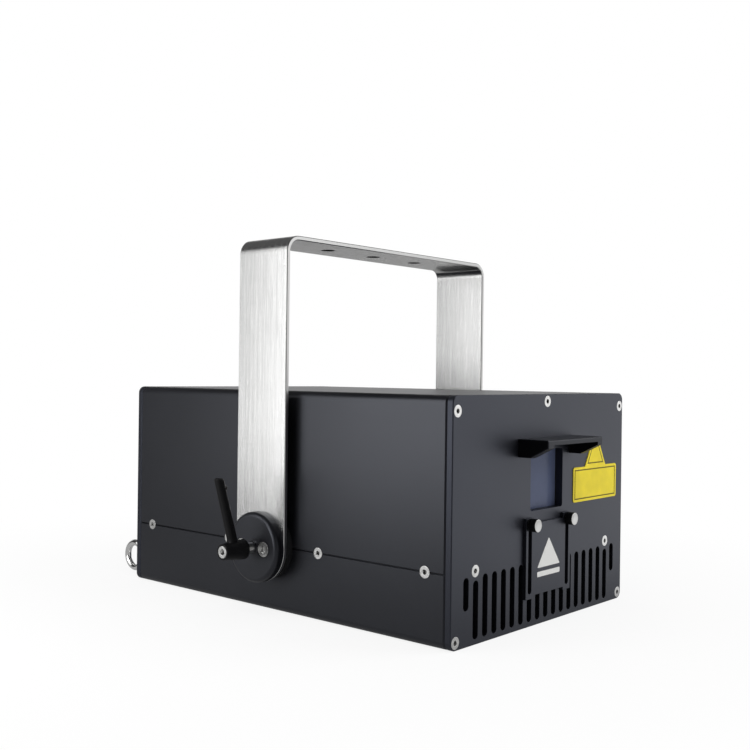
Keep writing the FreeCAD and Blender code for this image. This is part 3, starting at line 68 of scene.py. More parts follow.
# Sizes and colours that a user would change

def length(name, description, default):
    """A length in metres."""
    return bpy.props.FloatProperty(name=name, description=description, default=default, unit="LENGTH",
                                   precision=5)


def colour(name, description, default):
    """A colour in linear light."""
    return bpy.props.FloatVectorProperty(name=name, description=description, default=default, size=3,
                                         subtype="COLOR", min=0, max=1)


class ProjectorColours(bpy.types.PropertyGroup):
    """The colours of the finishes."""
    sleeve: colour("Sleeve", "Anodised aluminium of the sleeve and brake discs", (0.003, 0.003, 0.004))
    panel: colour("Panels", "Anodised aluminium of the end panels, hood and mask", (0.004, 0.004, 0.0055))
    cast: colour("Castings", "Black of levers, thumb screws and parts inside", (0.004, 0.004, 0.0045))
    steel: colour("Steel strip", "Brushed steel of the yoke", (0.72, 0.72, 0.715))
    bright: colour("Bright steel", "Screws, studs and pins", (0.86, 0.86, 0.85))
    glass: colour("Window", "Coated glass of the beam window", (0.106, 0.128, 0.213))
    plate: colour("Front plate", "Enamel of the bare plate on the front", (0.9, 0.73, 0.033))
    mark: colour("Slide mark", "Printed mark on the mask", (0.82, 0.82, 0.80))
    board: colour("Circuit boards", "Solder mask of the boards", (0.012, 0.11, 0.045))


class ProjectorSizes(bpy.types.PropertyGroup):
    """The sizes of the fine pieces."""
    knurl_count: bpy.props.IntProperty(name="Knurl count", description="Ridges round a thumb screw",
                                       default=32, min=12, max=64)
    knurl_depth: length("Knurl depth", "Depth of the grooves round a thumb screw", 0.32 * MM)
    thumb_shank: length("Thumb screw shank", "Radius of a thumb screw's shank", 1.95 * MM)
    thumb_head: length("Thumb screw head", "Length of a thumb screw's head", 6 * MM)
    lever_hub: length("Lever hub", "Length of a lever's hub along its stud", 18.5 * MM)
    lever_foot: length("Lever foot", "Radius of a lever's hub at its foot", 6.8 * MM)
    lever_nose: length("Lever nose", "Radius of a lever's hub at its outer end", 5.3 * MM)
    lever_root: length("Lever arm root", "From the hub's foot out to the middle of the arm", 10.2 * MM)
    lever_lean: length("Lever arm lean", "How far the arm leans out over its height", 12.2 * MM)
    lever_arm: length("Lever arm width", "Width of the arm at its root", 6.1 * MM)
    lever_nib: length("Lever nib", "Radius of the small nib near the arm's tip", 2.2 * MM)
    nib_drop: length("Nib drop", "From the arm's tip down to the nib", 7 * MM)
    lever_bore: length("Lever bore", "Radius of the bore for the stud", 4.08 * MM)
    lever_grain: length("Lever fineness", "Size of the faces on a lever", 0.42 * MM)
    plate_left: length("Plate left edge", "X of the front plate's left edge", 34 * MM)
    plate_low: length("Plate lower edge", "Z of the front plate's lower edge", 76.5 * MM)
    plate_width: length("Plate width", "Width of the front plate", 61 * MM)
    plate_height: length("Plate height", "Height of the front plate without its tab", 24.2 * MM)
    plate_tab: length("Plate tab", "Height of the tapering tab above the plate", 18 * MM)
    plate_corner: length("Plate corners", "Radius of the front plate's corners", 1.8 * MM)
    plate_thickness: length("Plate thickness", "Thickness of the front plate", 0.5 * MM)
    plate_margin: length("Plate margin", "From the front plate's edges in to its ruled line", 1.7 * MM)
    plate_line: length("Plate line", "Width of the ruled line round the front plate", 0.9 * MM)
    mark_width: length("Mark width", "Width of the slide mark", 28 * MM)
    mark_low: length("Mark lower edge", "Z of the slide mark's lower edge", 32 * MM)
    mark_height: length("Mark height", "Height of the slide mark", 25 * MM)
    mark_bar: length("Mark bar", "Height of the bar under the arrowhead", 3.4 * MM)
    mark_gap: length("Mark gap", "From the bar up to the arrowhead", 2.6 * MM)
    mark_thickness: length("Mark thickness", "Thickness of the printed ink", 0.05 * MM)


class ProjectorStage(bpy.types.PropertyGroup):
    """The studio light and camera."""
    side_lamps: bpy.props.FloatProperty(name="Side lamps", default=8, unit="POWER",
                                        description="Power that sets the three side lamps")
    top_lamp: bpy.props.FloatProperty(name="Top lamp", description="Power of the lamp overhead", default=14,
                                      unit="POWER")
    room_light: bpy.props.FloatProperty(name="Room light", description="Light from all round", default=0.35,
                                        subtype="FACTOR")
    lens: bpy.props.FloatProperty(name="Lens", description="Focal length of the camera", default=48.562,
                                  unit="CAMERA")


# Shader values as Python expressions

class Value:
    """A shader socket that takes part in arithmetic; each operation adds its Math node."""

    def __init__(self, shading, socket):
        self.shading = shading
        self.socket = socket

    def maths(self, operation, first, second):
        """One Math node."""
        return self.shading.node("ShaderNodeMath", {"operation": operation}, {0: first, 1: second})

    def __add__(self, other):
        return self.maths("ADD", self, other)

    def __radd__(self, other):
        return self.maths("ADD", other, self)

    def __rsub__(self, other):
        return self.maths("SUBTRACT", other, self)

    def __mul__(self, other):
        return self.maths("MULTIPLY", self, other)

    def __rmul__(self, other):
        return self.maths("MULTIPLY", other, self)

    def rise(self, low, high):
        """0 below low, 1 above high and smooth between them."""
        return self.shading.node("ShaderNodeMapRange", {"interpolation_type": "SMOOTHSTEP"},
                                 {"Value": self, "From Min": low, "From Max": high})


# The matt black of painted shade, laid on recesses and on shaded sides
PAINTED_SHADE_BLACK = (0.002, 0.002, 0.0025, 1)


class Shading:
    """A node tree that is filled through one method."""

    def __init__(self, owner):
        owner.use_nodes = True
        self.owner = owner
        self.tree = owner.node_tree
        self.tree.nodes.clear()

    def node(self, kind, settings=None, sockets=None, output=0):
        """Adds a node, makes its settings, sets or links its sockets and gives one of its outputs."""
        made = self.tree.nodes.new(kind)
        for name, setting in (settings or {}).items():
            setattr(made, name, setting)
        for name, value in (sockets or {}).items():
            if isinstance(value, Value):
                self.tree.links.new(value.socket, made.inputs[name])
            else:
                made.inputs[name].default_value = value
        return Value(self, made.outputs[output]) if len(made.outputs) else None

    def place(self, stretch=(1, 1, 1)):
        """The place on the piece, drawn out along an axis where stretch is small."""
        spot = self.node("ShaderNodeTexCoord", output="Object")
        return self.node("ShaderNodeMapping", {}, {"Vector": spot, "Scale": stretch})

    def noise(self, scale, detail, stretch=(1, 1, 1)):
        """Cloudy grain between 0 and 1, with scale features to the metre."""
        return self.node("ShaderNodeTexNoise", {},
                         {"Vector": self.place(stretch), "Scale": scale, "Detail": detail})

    def blend(self, share, first, second):
        """One colour passing into another."""
        return self.node("ShaderNodeMix", {"data_type": "RGBA"}, {0: share, 6: first, 7: second}, 2)

    def along(self, vector, axis):
        """How far a vector runs along an axis."""
        return self.node("ShaderNodeVectorMath", {"operation": "DOT_PRODUCT"},
                         {0: vector, 1: axis}, "Value")

    def facing(self, axis):
        """1 where the surface faces along an axis, either way."""
        share = self.along(self.node("ShaderNodeTexCoord", output="Normal"), axis)
        return (share * share).rise(0.3, 0.8)

    def rounded(self, radius):
        """A normal that is rounded over the edges."""
        return self.node("ShaderNodeBevel", {"samples": 6}, {"Radius": radius})

    def edge(self, rounded):
        """1 along the edges that a rounded normal softens."""
        plain = self.node("ShaderNodeNewGeometry", output="Normal")
        return (1 - self.along(rounded, plain)).rise(0.01, 0.22)

    def open_share(self, distance):
        """1 in the open and 0 in a recess of the piece itself."""
        return self.node("ShaderNodeAmbientOcclusion", {"samples": 6, "only_local": True},
                         {"Distance": distance}, "AO")

    def bump(self, height, distance, normal=None):
        """Relief of that height in metres."""
        sockets = {"Height": height, "Distance": distance, "Strength": 1.0}
        if normal is not None:
            sockets["Normal"] = normal
        return self.node("ShaderNodeBump", {}, sockets)

    def cover(self, sockets, share=None):
        """Ends the material with one shader, painting shade as matt black where share falls to 0, and gives
        the material.
        """
        shader = self.node("ShaderNodeBsdfPrincipled", {}, sockets)
        # Painted shade: matt black takes over where share falls to 0
        if share is not None:
            painted_shade = self.node("ShaderNodeBsdfDiffuse", {}, {"Color": PAINTED_SHADE_BLACK})
            shader = self.node("ShaderNodeMixShader", {}, {0: share, 1: painted_shade, 2: shader})
        self.node("ShaderNodeOutputMaterial", {}, {"Surface": shader})
        return self.owner


def new_finish(name):
    """The shading of a new material."""
    return Shading(bpy.data.materials.new(name))


def tone(rgb, factor=1.0):
    """A colour for a socket, made lighter or darker."""
    return tuple(min(1.0, part * factor) for part in rgb) + (1.0,)


# Finishes

def anodised(name, rgb, lines, roughness, specular, tint, painted_side_shade=0.0):
    """Satin black anodised aluminium, with painted shade of matt black in its recesses and, by a share, on
    its sides that face along X.

    lines stretches its grain along an axis.
    """
    finish = new_finish(name)
    cloud = finish.noise(14, 3)
    grain = finish.noise(4200, 3)
    drawn = finish.noise(1500, 2, lines)
    rounded = finish.rounded(0.25 * MM)
    # Painted shade: 1 in the open and 0 in the recesses, which are painted matt black
    clear_of_painted_shade = finish.open_share(8 * MM).rise(0.3, 0.75)
    body = finish.blend(cloud.rise(0.3, 0.7), tone(rgb, 0.85), tone(rgb, 1.2))
    # Painted shade also darkens the sides that face along X, by the given share
    return finish.cover({
        "Base Color": finish.blend(0.35 * grain, body, tone(rgb, 2.2)),
        "Roughness": roughness + 0.07 * cloud + 0.05 * drawn,
        "Specular IOR Level": specular,
        "Specular Tint": (*tint, 1),
        "Normal": finish.bump(0.6 * grain + 0.4 * drawn, 0.012 * MM, rounded),
    }, clear_of_painted_shade * (1 - painted_side_shade * finish.facing((1, 0, 0))))


def sleeve_finish(colours):
    """The sleeve, with faint draw lines along its length."""
    return anodised("anodised_sleeve", colours.sleeve, (1, 0.012, 1), 0.3, 0.62, (0.84, 0.88, 1.0))


def panel_finish(colours):
    """The end panels and mask, blasted before they were anodised, with painted shade darkening their sides
    that face along X.
    """
    return anodised("anodised_panel", colours.panel, (1, 1, 1), 0.36, 0.88, (0.74, 0.8, 1.0), 0.25)


def hood_finish(colours):
    """The hood, less glossy so that it throws no light back at the beam, with painted shade darkening its
    sides that face along X.
    """
    return anodised("anodised_hood", colours.panel, (1, 1, 1), 0.42, 0.5, (0.8, 0.85, 1.0), 0.85)


def inner_finish(colours):
    """Dull black anodised parts inside the housing."""
    return anodised("anodised_inside", colours.cast, (1, 1, 0.02), 0.5, 0.15, (1.0, 1.0, 1.0))


def strip_finish(colours):
    """Steel strip brushed along its length, so that the lines cross it in Y.

    Its cut edges are duller, and painted shade darkens the walls of its three holes.
    """
    finish = new_finish("brushed_strip")
    fine = finish.noise(6500, 2, (0.004, 1, 0.004))
    broad = finish.noise(500, 3, (0.01, 1, 0.01))
    smear = finish.noise(26, 2, (0.4, 1, 0.4))
    cut = finish.facing((0, 1, 0))
    from_middle = finish.along(finish.place(), (1, 0, 0))
    from_centre_line = finish.along(finish.place(), (0, 1, 0))
    # Both limits are squares of distances in metres
    on_bar = 1 - (from_middle * from_middle).rise(0.008, 0.009)
    on_centre_line = 1 - (from_centre_line * from_centre_line).rise(0.0001, 0.0002)
    # Painted shade: the walls of the three holes on the bar's centre line are painted near black
    painted_hole_shade = (1 - finish.facing((0, 0, 1))) * on_bar * on_centre_line
    body = finish.blend(broad.rise(0.3, 0.7), tone(colours.steel, 0.95), tone(colours.steel, 1.03))
    body = finish.blend(0.3 * fine.rise(0.35, 0.7), body, tone(colours.steel, 0.82))
    body = finish.blend(cut, body, tone(colours.steel, 0.85))
    return finish.cover({
        "Base Color": finish.blend(painted_hole_shade, body, (0.03, 0.03, 0.03, 1)),
        "Metallic": 1.0,
        "Roughness": 0.16 + 0.05 * broad + 0.05 * smear + 0.1 * cut,
        "Normal": finish.bump(0.85 * fine + 0.15 * broad, 0.06 * MM),
    })


def cast_finish(colours):
    """Fine black powder coat with the small ripples of a sprayed casting."""
    finish = new_finish("powder_coat")
    ripple = finish.noise(1400, 2)
    speck = finish.noise(5000, 2)
    rounded = finish.rounded(0.3 * MM)
    edge = finish.edge(rounded)
    body = finish.blend(ripple.rise(0.3, 0.7), tone(colours.cast, 0.8), tone(colours.cast, 1.5))
    # Painted highlight: the edges found by the rounded normal are lightened
    return finish.cover({
        "Base Color": finish.blend(0.6 * edge, body, tone(colours.cast, 4)),
        "Roughness": 0.4 + 0.12 * ripple + 0.05 * speck,
        "Specular IOR Level": 0.16,
        "Normal": finish.bump(0.7 * ripple + 0.3 * speck, 0.03 * MM, rounded),
    })


def bright_finish(colours):
    """Turned bright steel, with painted shade dark down in its key sockets and a painted highlight along its
    edges.
    """
    finish = new_finish("bright_steel")
    turned = finish.noise(3000, 2, (1, 0.1, 1))
    stain = finish.noise(350, 3)
    rounded = finish.rounded(0.2 * MM)
    edge = finish.edge(rounded)
    # Painted shade: 0 down in the key sockets, which are painted near black and less metallic
    clear = finish.open_share(2.2 * MM).rise(0.3, 0.75)
    body = finish.blend(stain.rise(0.35, 0.7), tone(colours.bright, 0.85), tone(colours.bright, 1.08))
    # Painted highlight: the edges are lightened
    body = finish.blend(0.4 * edge, body, tone(colours.bright, 1.3))
    return finish.cover({
        "Base Color": finish.blend(clear, (0.012, 0.012, 0.013, 1), body),
        "Metallic": 0.35 + 0.65 * clear,
        "Roughness": 0.2 + 0.12 * turned + 0.08 * stain,
        "Normal": finish.bump(turned, 0.01 * MM, rounded),
    })


def turned_finish(colours):
    """Satin turned faces, duller than the screws."""
    finish = new_finish("turned_face")
    turned = finish.noise(3000, 2, (1, 0.1, 1))
    return finish.cover({
        "Base Color": finish.blend(turned, tone(colours.bright, 0.7), tone(colours.bright, 0.82)),
        "Metallic": 1.0,
        "Roughness": 0.3 + 0.1 * turned,
        "Normal": finish.bump(turned, 0.01 * MM),
    })


def chrome_finish(colours):
    """Polished plating with a slight haze."""
    finish = new_finish("chrome")
    haze = finish.noise(160, 3)
    ripple = finish.noise(380, 2)
    return finish.cover({
        "Base Color": finish.blend(haze, tone(colours.bright, 1.0), tone(colours.bright, 1.25)),
        "Metallic": 1.0,
        "Roughness": 0.05 + 0.1 * haze.rise(0.35, 0.75),
        "Normal": finish.bump(ripple, 0.02 * MM),
    })


def glass_finish(colours):
    """Coated window glass that holds back what lies behind it."""
    finish = new_finish("coated_glass")
    cloud = finish.noise(45, 3)
    dust = finish.noise(1600, 2)
    film = finish.blend(cloud.rise(0.3, 0.75), tone(colours.glass, 0.95), tone(colours.glass, 1.08))
    return finish.cover({
        "Base Color": finish.blend(0.2 * dust.rise(0.6, 0.8), film, tone(colours.glass, 1.6)),
        "Roughness": 0.16 + 0.1 * cloud,
        "Specular IOR Level": 0.12,
        "Alpha": 0.97 + 0.03 * cloud,
    })


def rubber_finish(colours):
    """Matt black sealing rubber."""
    finish = new_finish("black_rubber")
    grain = finish.noise(1800, 3)
    return finish.cover({
        "Base Color": finish.blend(grain, (0.006, 0.006, 0.006, 1), (0.02, 0.02, 0.02, 1)),
        "Roughness": 0.75 + 0.15 * grain,
        "Specular IOR Level": 0.3,
        "Normal": finish.bump(grain, 0.03 * MM),
    })


def plastic_finish(colours):
    """Moulded black plastic with a spark-eroded texture."""
    finish = new_finish("black_plastic")
    spark = finish.noise(2400, 2)
    cloud = finish.noise(40, 2)
    rounded = finish.rounded(0.25 * MM)
    edge = finish.edge(rounded)
    body = finish.blend(cloud, (0.007, 0.007, 0.0075, 1), (0.014, 0.014, 0.015, 1))
    # Painted highlight: the edges are lightened
    return finish.cover({
        "Base Color": finish.blend(0.5 * edge, body, (0.03, 0.03, 0.031, 1)),
        "Roughness": 0.42 + 0.16 * spark,
        "Specular IOR Level": 0.4,
        "Normal": finish.bump(spark, 0.02 * MM, rounded),
    })


def machined_finish(colours):
    """Milled aluminium with fine cutter lines."""
    finish = new_finish("milled_aluminium")
    cuts = finish.noise(1900, 2, (0.03, 1, 1))
    cloud = finish.noise(60, 3)
    rounded = finish.rounded(0.25 * MM)
    edge = finish.edge(rounded)
    body = finish.blend(cloud, (0.5, 0.51, 0.52, 1), (0.64, 0.65, 0.66, 1))
    # Painted highlight: the edges are lightened
    return finish.cover({
        "Base Color": finish.blend(0.5 * edge, body, (0.8, 0.8, 0.81, 1)),
        "Metallic": 1.0,
        "Roughness": 0.32 + 0.14 * cuts,
        "Normal": finish.bump(cuts, 0.015 * MM, rounded),
    })


def nickel_finish(colours):
    """Satin nickel of the sockets and the lock, with painted shade in its recesses and a painted highlight
    along its edges.
    """
    finish = new_finish("satin_nickel")
    grain = finish.noise(2600, 2)
    cloud = finish.noise(90, 3)
    rounded = finish.rounded(0.25 * MM)
    edge = finish.edge(rounded)
    # Painted shade: 0 in the recesses, which are painted near black and less metallic
    clear = finish.open_share(6 * MM).rise(0.25, 0.7)
    body = finish.blend(cloud, (0.42, 0.41, 0.39, 1), (0.56, 0.55, 0.52, 1))
    # Painted highlight: the edges are lightened
    body = finish.blend(0.5 * edge, body, (0.75, 0.74, 0.7, 1))
    return finish.cover({
        "Base Color": finish.blend(clear, (0.02, 0.02, 0.02, 1), body),
        "Metallic": 0.3 + 0.7 * clear,
        "Roughness": 0.26 + 0.14 * grain,
        "Normal": finish.bump(grain, 0.01 * MM, rounded),
    })


def board_finish(colours):
    """Green solder mask with paler copper runs under it."""
    finish = new_finish("circuit_board")
    runs = finish.node("ShaderNodeTexBrick", {"offset": 0.37, "squash": 1.6},
                       {"Vector": finish.place(), "Scale": 130.0, "Mortar Size": 0.06,
                        "Color1": (0, 0, 0, 1), "Color2": (0, 0, 0, 1), "Mortar": (1, 1, 1, 1)}, "Fac")
    cloud = finish.noise(70, 3)
    body = finish.blend(cloud, tone(colours.board, 0.75), tone(colours.board, 1.15))
    return finish.cover({
        "Base Color": finish.blend(0.6 * runs, body, tone(colours.board, 2.1)),
        "Roughness": 0.28 + 0.12 * cloud,
        "Normal": finish.bump(runs, 0.03 * MM),
    })


def mirror_finish(colours):
    """Front-silvered glass."""
    finish = new_finish("silvered_glass")
    haze = finish.noise(220, 3)
    return finish.cover({
        "Base Color": finish.blend(haze, (0.82, 0.85, 0.88, 1), (0.9, 0.92, 0.95, 1)),
        "Metallic": 1.0,
        "Roughness": 0.02 + 0.05 * haze.rise(0.45, 0.8),
    })


def brass_finish(colours):
    """Turned brass."""
    finish = new_finish("turned_brass")
    turned = finish.noise(2400, 2, (1, 1, 0.1))
    return finish.cover({
        "Base Color": finish.blend(turned, (0.5, 0.34, 0.12, 1), (0.66, 0.47, 0.19, 1)),
        "Metallic": 1.0,
        "Roughness": 0.25 + 0.15 * turned,
        "Normal": finish.bump(turned, 0.015 * MM),
    })


def lamp_finish(name, rgb):
    """An unlit coloured lens, mottled darker and lighter in small cells."""
    finish = new_finish(name)
    cells = finish.noise(900, 2)
    return finish.cover({
        "Base Color": finish.blend(cells.rise(0.3, 0.7), tone(rgb, 0.7), tone(rgb, 1.15)),
        "Roughness": 0.12 + 0.1 * cells,
        "Coat Weight": 0.4,
        "Normal": finish.bump(cells, 0.03 * MM),
    })


def status_finish(colours):
    """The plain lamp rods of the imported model."""
    return lamp_finish("lamp_green", (0.1, 0.42, 0.1))


def plate_finish(colours):
    """Yellow enamel, a little uneven, with painted shade darkening its rim."""
    finish = new_finish("yellow_enamel")
    cloud = finish.noise(48, 3)
    orange_peel = finish.noise(900, 2)
    rounded = finish.rounded(0.3 * MM)
    edge = finish.edge(rounded)
    body = finish.blend(cloud.rise(0.3, 0.7), tone(colours.plate, 0.9), tone(colours.plate, 1.06))
    # Painted shade: the rim found by the rounded normal is darkened
    return finish.cover({
        "Base Color": finish.blend(0.45 * edge, body, (0.5, 0.42, 0.1, 1)),
        "Roughness": 0.4 + 0.12 * orange_peel,
        "Specular IOR Level": 0.25,
        "Normal": finish.bump(orange_peel, 0.015 * MM, rounded),
    })


def line_finish(colours):
    """The ruled line, fired into the enamel in a darker tone."""
    finish = new_finish("plate_line")
    cloud = finish.noise(300, 3)
    return finish.cover({
        "Base Color": finish.blend(cloud, tone(colours.plate, 0.12), tone(colours.plate, 0.22)),
        "Roughness": 0.45 + 0.15 * cloud,
        "Specular IOR Level": 0.25,
    })


def mark_finish(colours):
    """White screen-printed ink with tiny pinholes."""
    finish = new_finish("white_ink")
    pores = finish.noise(2600, 3)
    return finish.cover({
        "Base Color": finish.blend(pores.rise(0.62, 0.78), tone(colours.mark), tone(colours.mark, 0.55)),
        "Roughness": 0.5 + 0.15 * pores,
        "Normal": finish.bump(pores, 0.01 * MM),
    })


SLOT_FINISHES = {
    "black_anodised": sleeve_finish, "black_panel": panel_finish, "brushed_stainless": strip_finish,
    "black_cast": cast_finish, "bright_steel": bright_finish, "chrome": chrome_finish,
    "window_glass": glass_finish, "black_rubber": rubber_finish, "black_plastic": plastic_finish,
    "mill_aluminium": machined_finish, "nickel": nickel_finish, "board_green": board_finish,
    "mirror": mirror_finish, "brass": brass_finish, "lamp": status_finish,
}
# Parts whose finish differs from that of their slot
PART_FINISHES = {
    "left_brake_disc": sleeve_finish, "right_brake_disc": sleeve_finish, "aperture_hood": hood_finish,
    "optical_bench": inner_finish, "heat_sink": inner_finish, "scanner_block": inner_finish,
    "window_frame": inner_finish,
}


# Modelling by hand

def open_shape(add, stretch=(1, 1, 1), **settings):
    """Adds a primitive at its size and place with nothing else selected, and opens it for editing."""
    bpy.ops.object.select_all(action="DESELECT")
    add(**settings)
    bpy.context.object.scale = stretch
    bpy.ops.object.transform_apply(location=True, rotation=True, scale=True)
    bpy.ops.object.mode_set(mode="EDIT")
    bpy.ops.mesh.select_all(action="SELECT")
    return bpy.context.object


def pick(kind, test):
    """Selects the faces, edges or vertices that pass a test, and nothing else."""
    mesh = bpy.context.object.data
    bpy.ops.mesh.select_mode(type=kind)
    bpy.ops.mesh.select_all(action="DESELECT")
    shape = bmesh.from_edit_mesh(mesh)
    parts = {"VERT": shape.verts, "EDGE": shape.edges, "FACE": shape.faces}[kind]
    chosen = [part for part in parts if test(part)]
    if not chosen:
        raise RuntimeError(f"nothing to select on {bpy.context.object.name}")
    for part in chosen:
        part.select_set(True)
    shape.select_flush_mode()
    bmesh.update_edit_mesh(mesh)


def middle(edge):
    """The middle of an edge."""
    return (edge.verts[0].co + edge.verts[1].co) / 2


def extrude(x, y, z):
    """Extrudes what is selected by that much."""
    bpy.ops.mesh.extrude_region_move(TRANSFORM_OT_translate={"value": (x, y, z)})


def resize(x, y, z, centre):
    """Scales what is selected about a point."""
    bpy.ops.transform.resize(value=(x, y, z), center_override=centre)


def close_shape(flat=False):
    """Merges doubles, turns the faces of a closed shape outwards and leaves edit mode."""
    bpy.ops.mesh.select_all(action="SELECT")
    bpy.ops.mesh.remove_doubles(threshold=0.002 * MM)
    if not flat:
        bpy.ops.mesh.normals_make_consistent(inside=False)
    bpy.ops.object.mode_set(mode="OBJECT")
    return bpy.context.object


def apply_modifier(piece, kind, **settings):
    """Adds a modifier and applies it."""
    modifier = piece.modifiers.new(kind.title(), kind)
    for name, setting in settings.items():
        setattr(modifier, name, setting)
    bpy.ops.object.modifier_apply(modifier=modifier.name)


def select_only(*pieces):
    """Selects these pieces, the last one active."""
    bpy.ops.object.select_all(action="DESELECT")
    for piece in pieces:
        piece.select_set(True)
    bpy.context.view_layer.objects.active = pieces[-1]


def copy_piece(piece, shift):
    """A copy with its own mesh, moved in its mesh."""
    select_only(piece)
    bpy.ops.object.duplicate(linked=False)
    bpy.ops.transform.translate(value=shift)
    bpy.ops.object.transform_apply(location=True, rotation=True, scale=True)
    return bpy.context.object


def set_in_place(piece, name, body, finishes, angle=35):
    """Names, shades and finishes a piece and sets it on its body."""
    select_only(piece)
    piece.name = name
    piece.data.name = name
    bpy.ops.object.shade_smooth_by_angle(angle=math.radians(angle))
    for finish in finishes:
        piece.data.materials.append(finish)
    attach(piece, body)


def finish_named(name, make):
    """The material of that name, made when it is first asked for."""
    return bpy.data.materials.get(name) or make(bpy.context.scene.projector_colours)


# Pieces

class PROJECTOR_OT_finishes(bpy.types.Operator):
    """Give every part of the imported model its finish"""
    bl_idname = "projector.finishes"
    bl_label = "Finishes"

    def execute(self, context):
        colours = context.scene.projector_colours
        makers = dict.fromkeys((*SLOT_FINISHES.values(), *PART_FINISHES.values()))
        made = {make: make(colours) for make in makers}
        for part in frame["record"]["subparts"]:
            make = PART_FINISHES.get(part["node"]) or SLOT_FINISHES[part["material_slot"]]
            mesh = frame["nodes"][part["node"]].data
            mesh.materials.clear()
            mesh.materials.append(made[make])
        return {"FINISHED"}


class PROJECTOR_OT_thumb_screws(bpy.types.Operator):
    """Model the two knurled thumb screws that clamp the mask"""
    bl_idname = "projector.thumb_screws"
    bl_label = "Thumb screws"

    def execute(self, context):
        sizes = context.scene.projector_sizes
        finishes = [finish_named("powder_coat", cast_finish), finish_named("turned_face", turned_finish)]
        low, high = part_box("left_thumb_screw")
        first = self.model(low, high, sizes)
        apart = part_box("right_thumb_screw")[0] - low
        second = copy_piece(first, apart)
        for piece, side in ((first, "left"), (second, "right")):
            set_in_place(piece, f"{side}_knurled_screw", f"{side}_thumb", finishes, 40)
            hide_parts(f"{side}_thumb_screw")
        return {"FINISHED"}

    def model(self, low, high, sizes):
        """One screw: a knurled head with a dished bright face, and a plain shank."""
        radius = (high.x - low.x) / 2
        axis = Vector(((low.x + high.x) / 2, 0, (low.z + high.z) / 2))
        seat = low.y + sizes.thumb_head
        sides = 2 * sizes.knurl_count
        open_shape(bpy.ops.mesh.primitive_cylinder_add, vertices=sides, radius=radius, depth=sizes.thumb_head,
                   location=(axis.x, low.y + sizes.thumb_head / 2, axis.z), rotation=(math.pi / 2, 0, 0))
        rim = 0.45 * MM
        pick("EDGE", lambda edge: abs(edge.verts[0].co.y - edge.verts[1].co.y) < NEAR)
        bpy.ops.mesh.bevel(offset=rim, segments=2, affect="EDGES")

        def groove(face):
            out = face.calc_center_median() - axis
            turn = math.atan2(out.z, out.x) / (2 * math.pi) * sides
            return abs(face.normal.y) < 0.05 and math.floor(turn) % 2 == 0

        groove_wall, land, slope, dish = 0.06 * MM, 0.25 * MM, 0.2 * MM, 0.12 * MM
        pick("FACE", groove)
        bpy.ops.mesh.inset(thickness=groove_wall, depth=-sizes.knurl_depth, use_individual=True)
        pick("FACE", lambda face: face.normal.y < -0.99)
        bpy.ops.mesh.inset(thickness=land, depth=0)
        bpy.ops.mesh.inset(thickness=slope, depth=-dish)
        pick("FACE", lambda face: face.normal.y > 0.99 and face.calc_center_median().y > seat - NEAR)
        bpy.ops.mesh.inset(thickness=radius - rim - sizes.thumb_shank, depth=0)
        extrude(0, high.y - seat, 0)
        piece = close_shape()
        for face in piece.data.polygons:
            near_axis = (Vector((face.center.x, 0, face.center.z)) - axis).length < sizes.thumb_shank * 1.02
            face.material_index = int(face.normal.y < -0.8 or near_axis)
        return piece


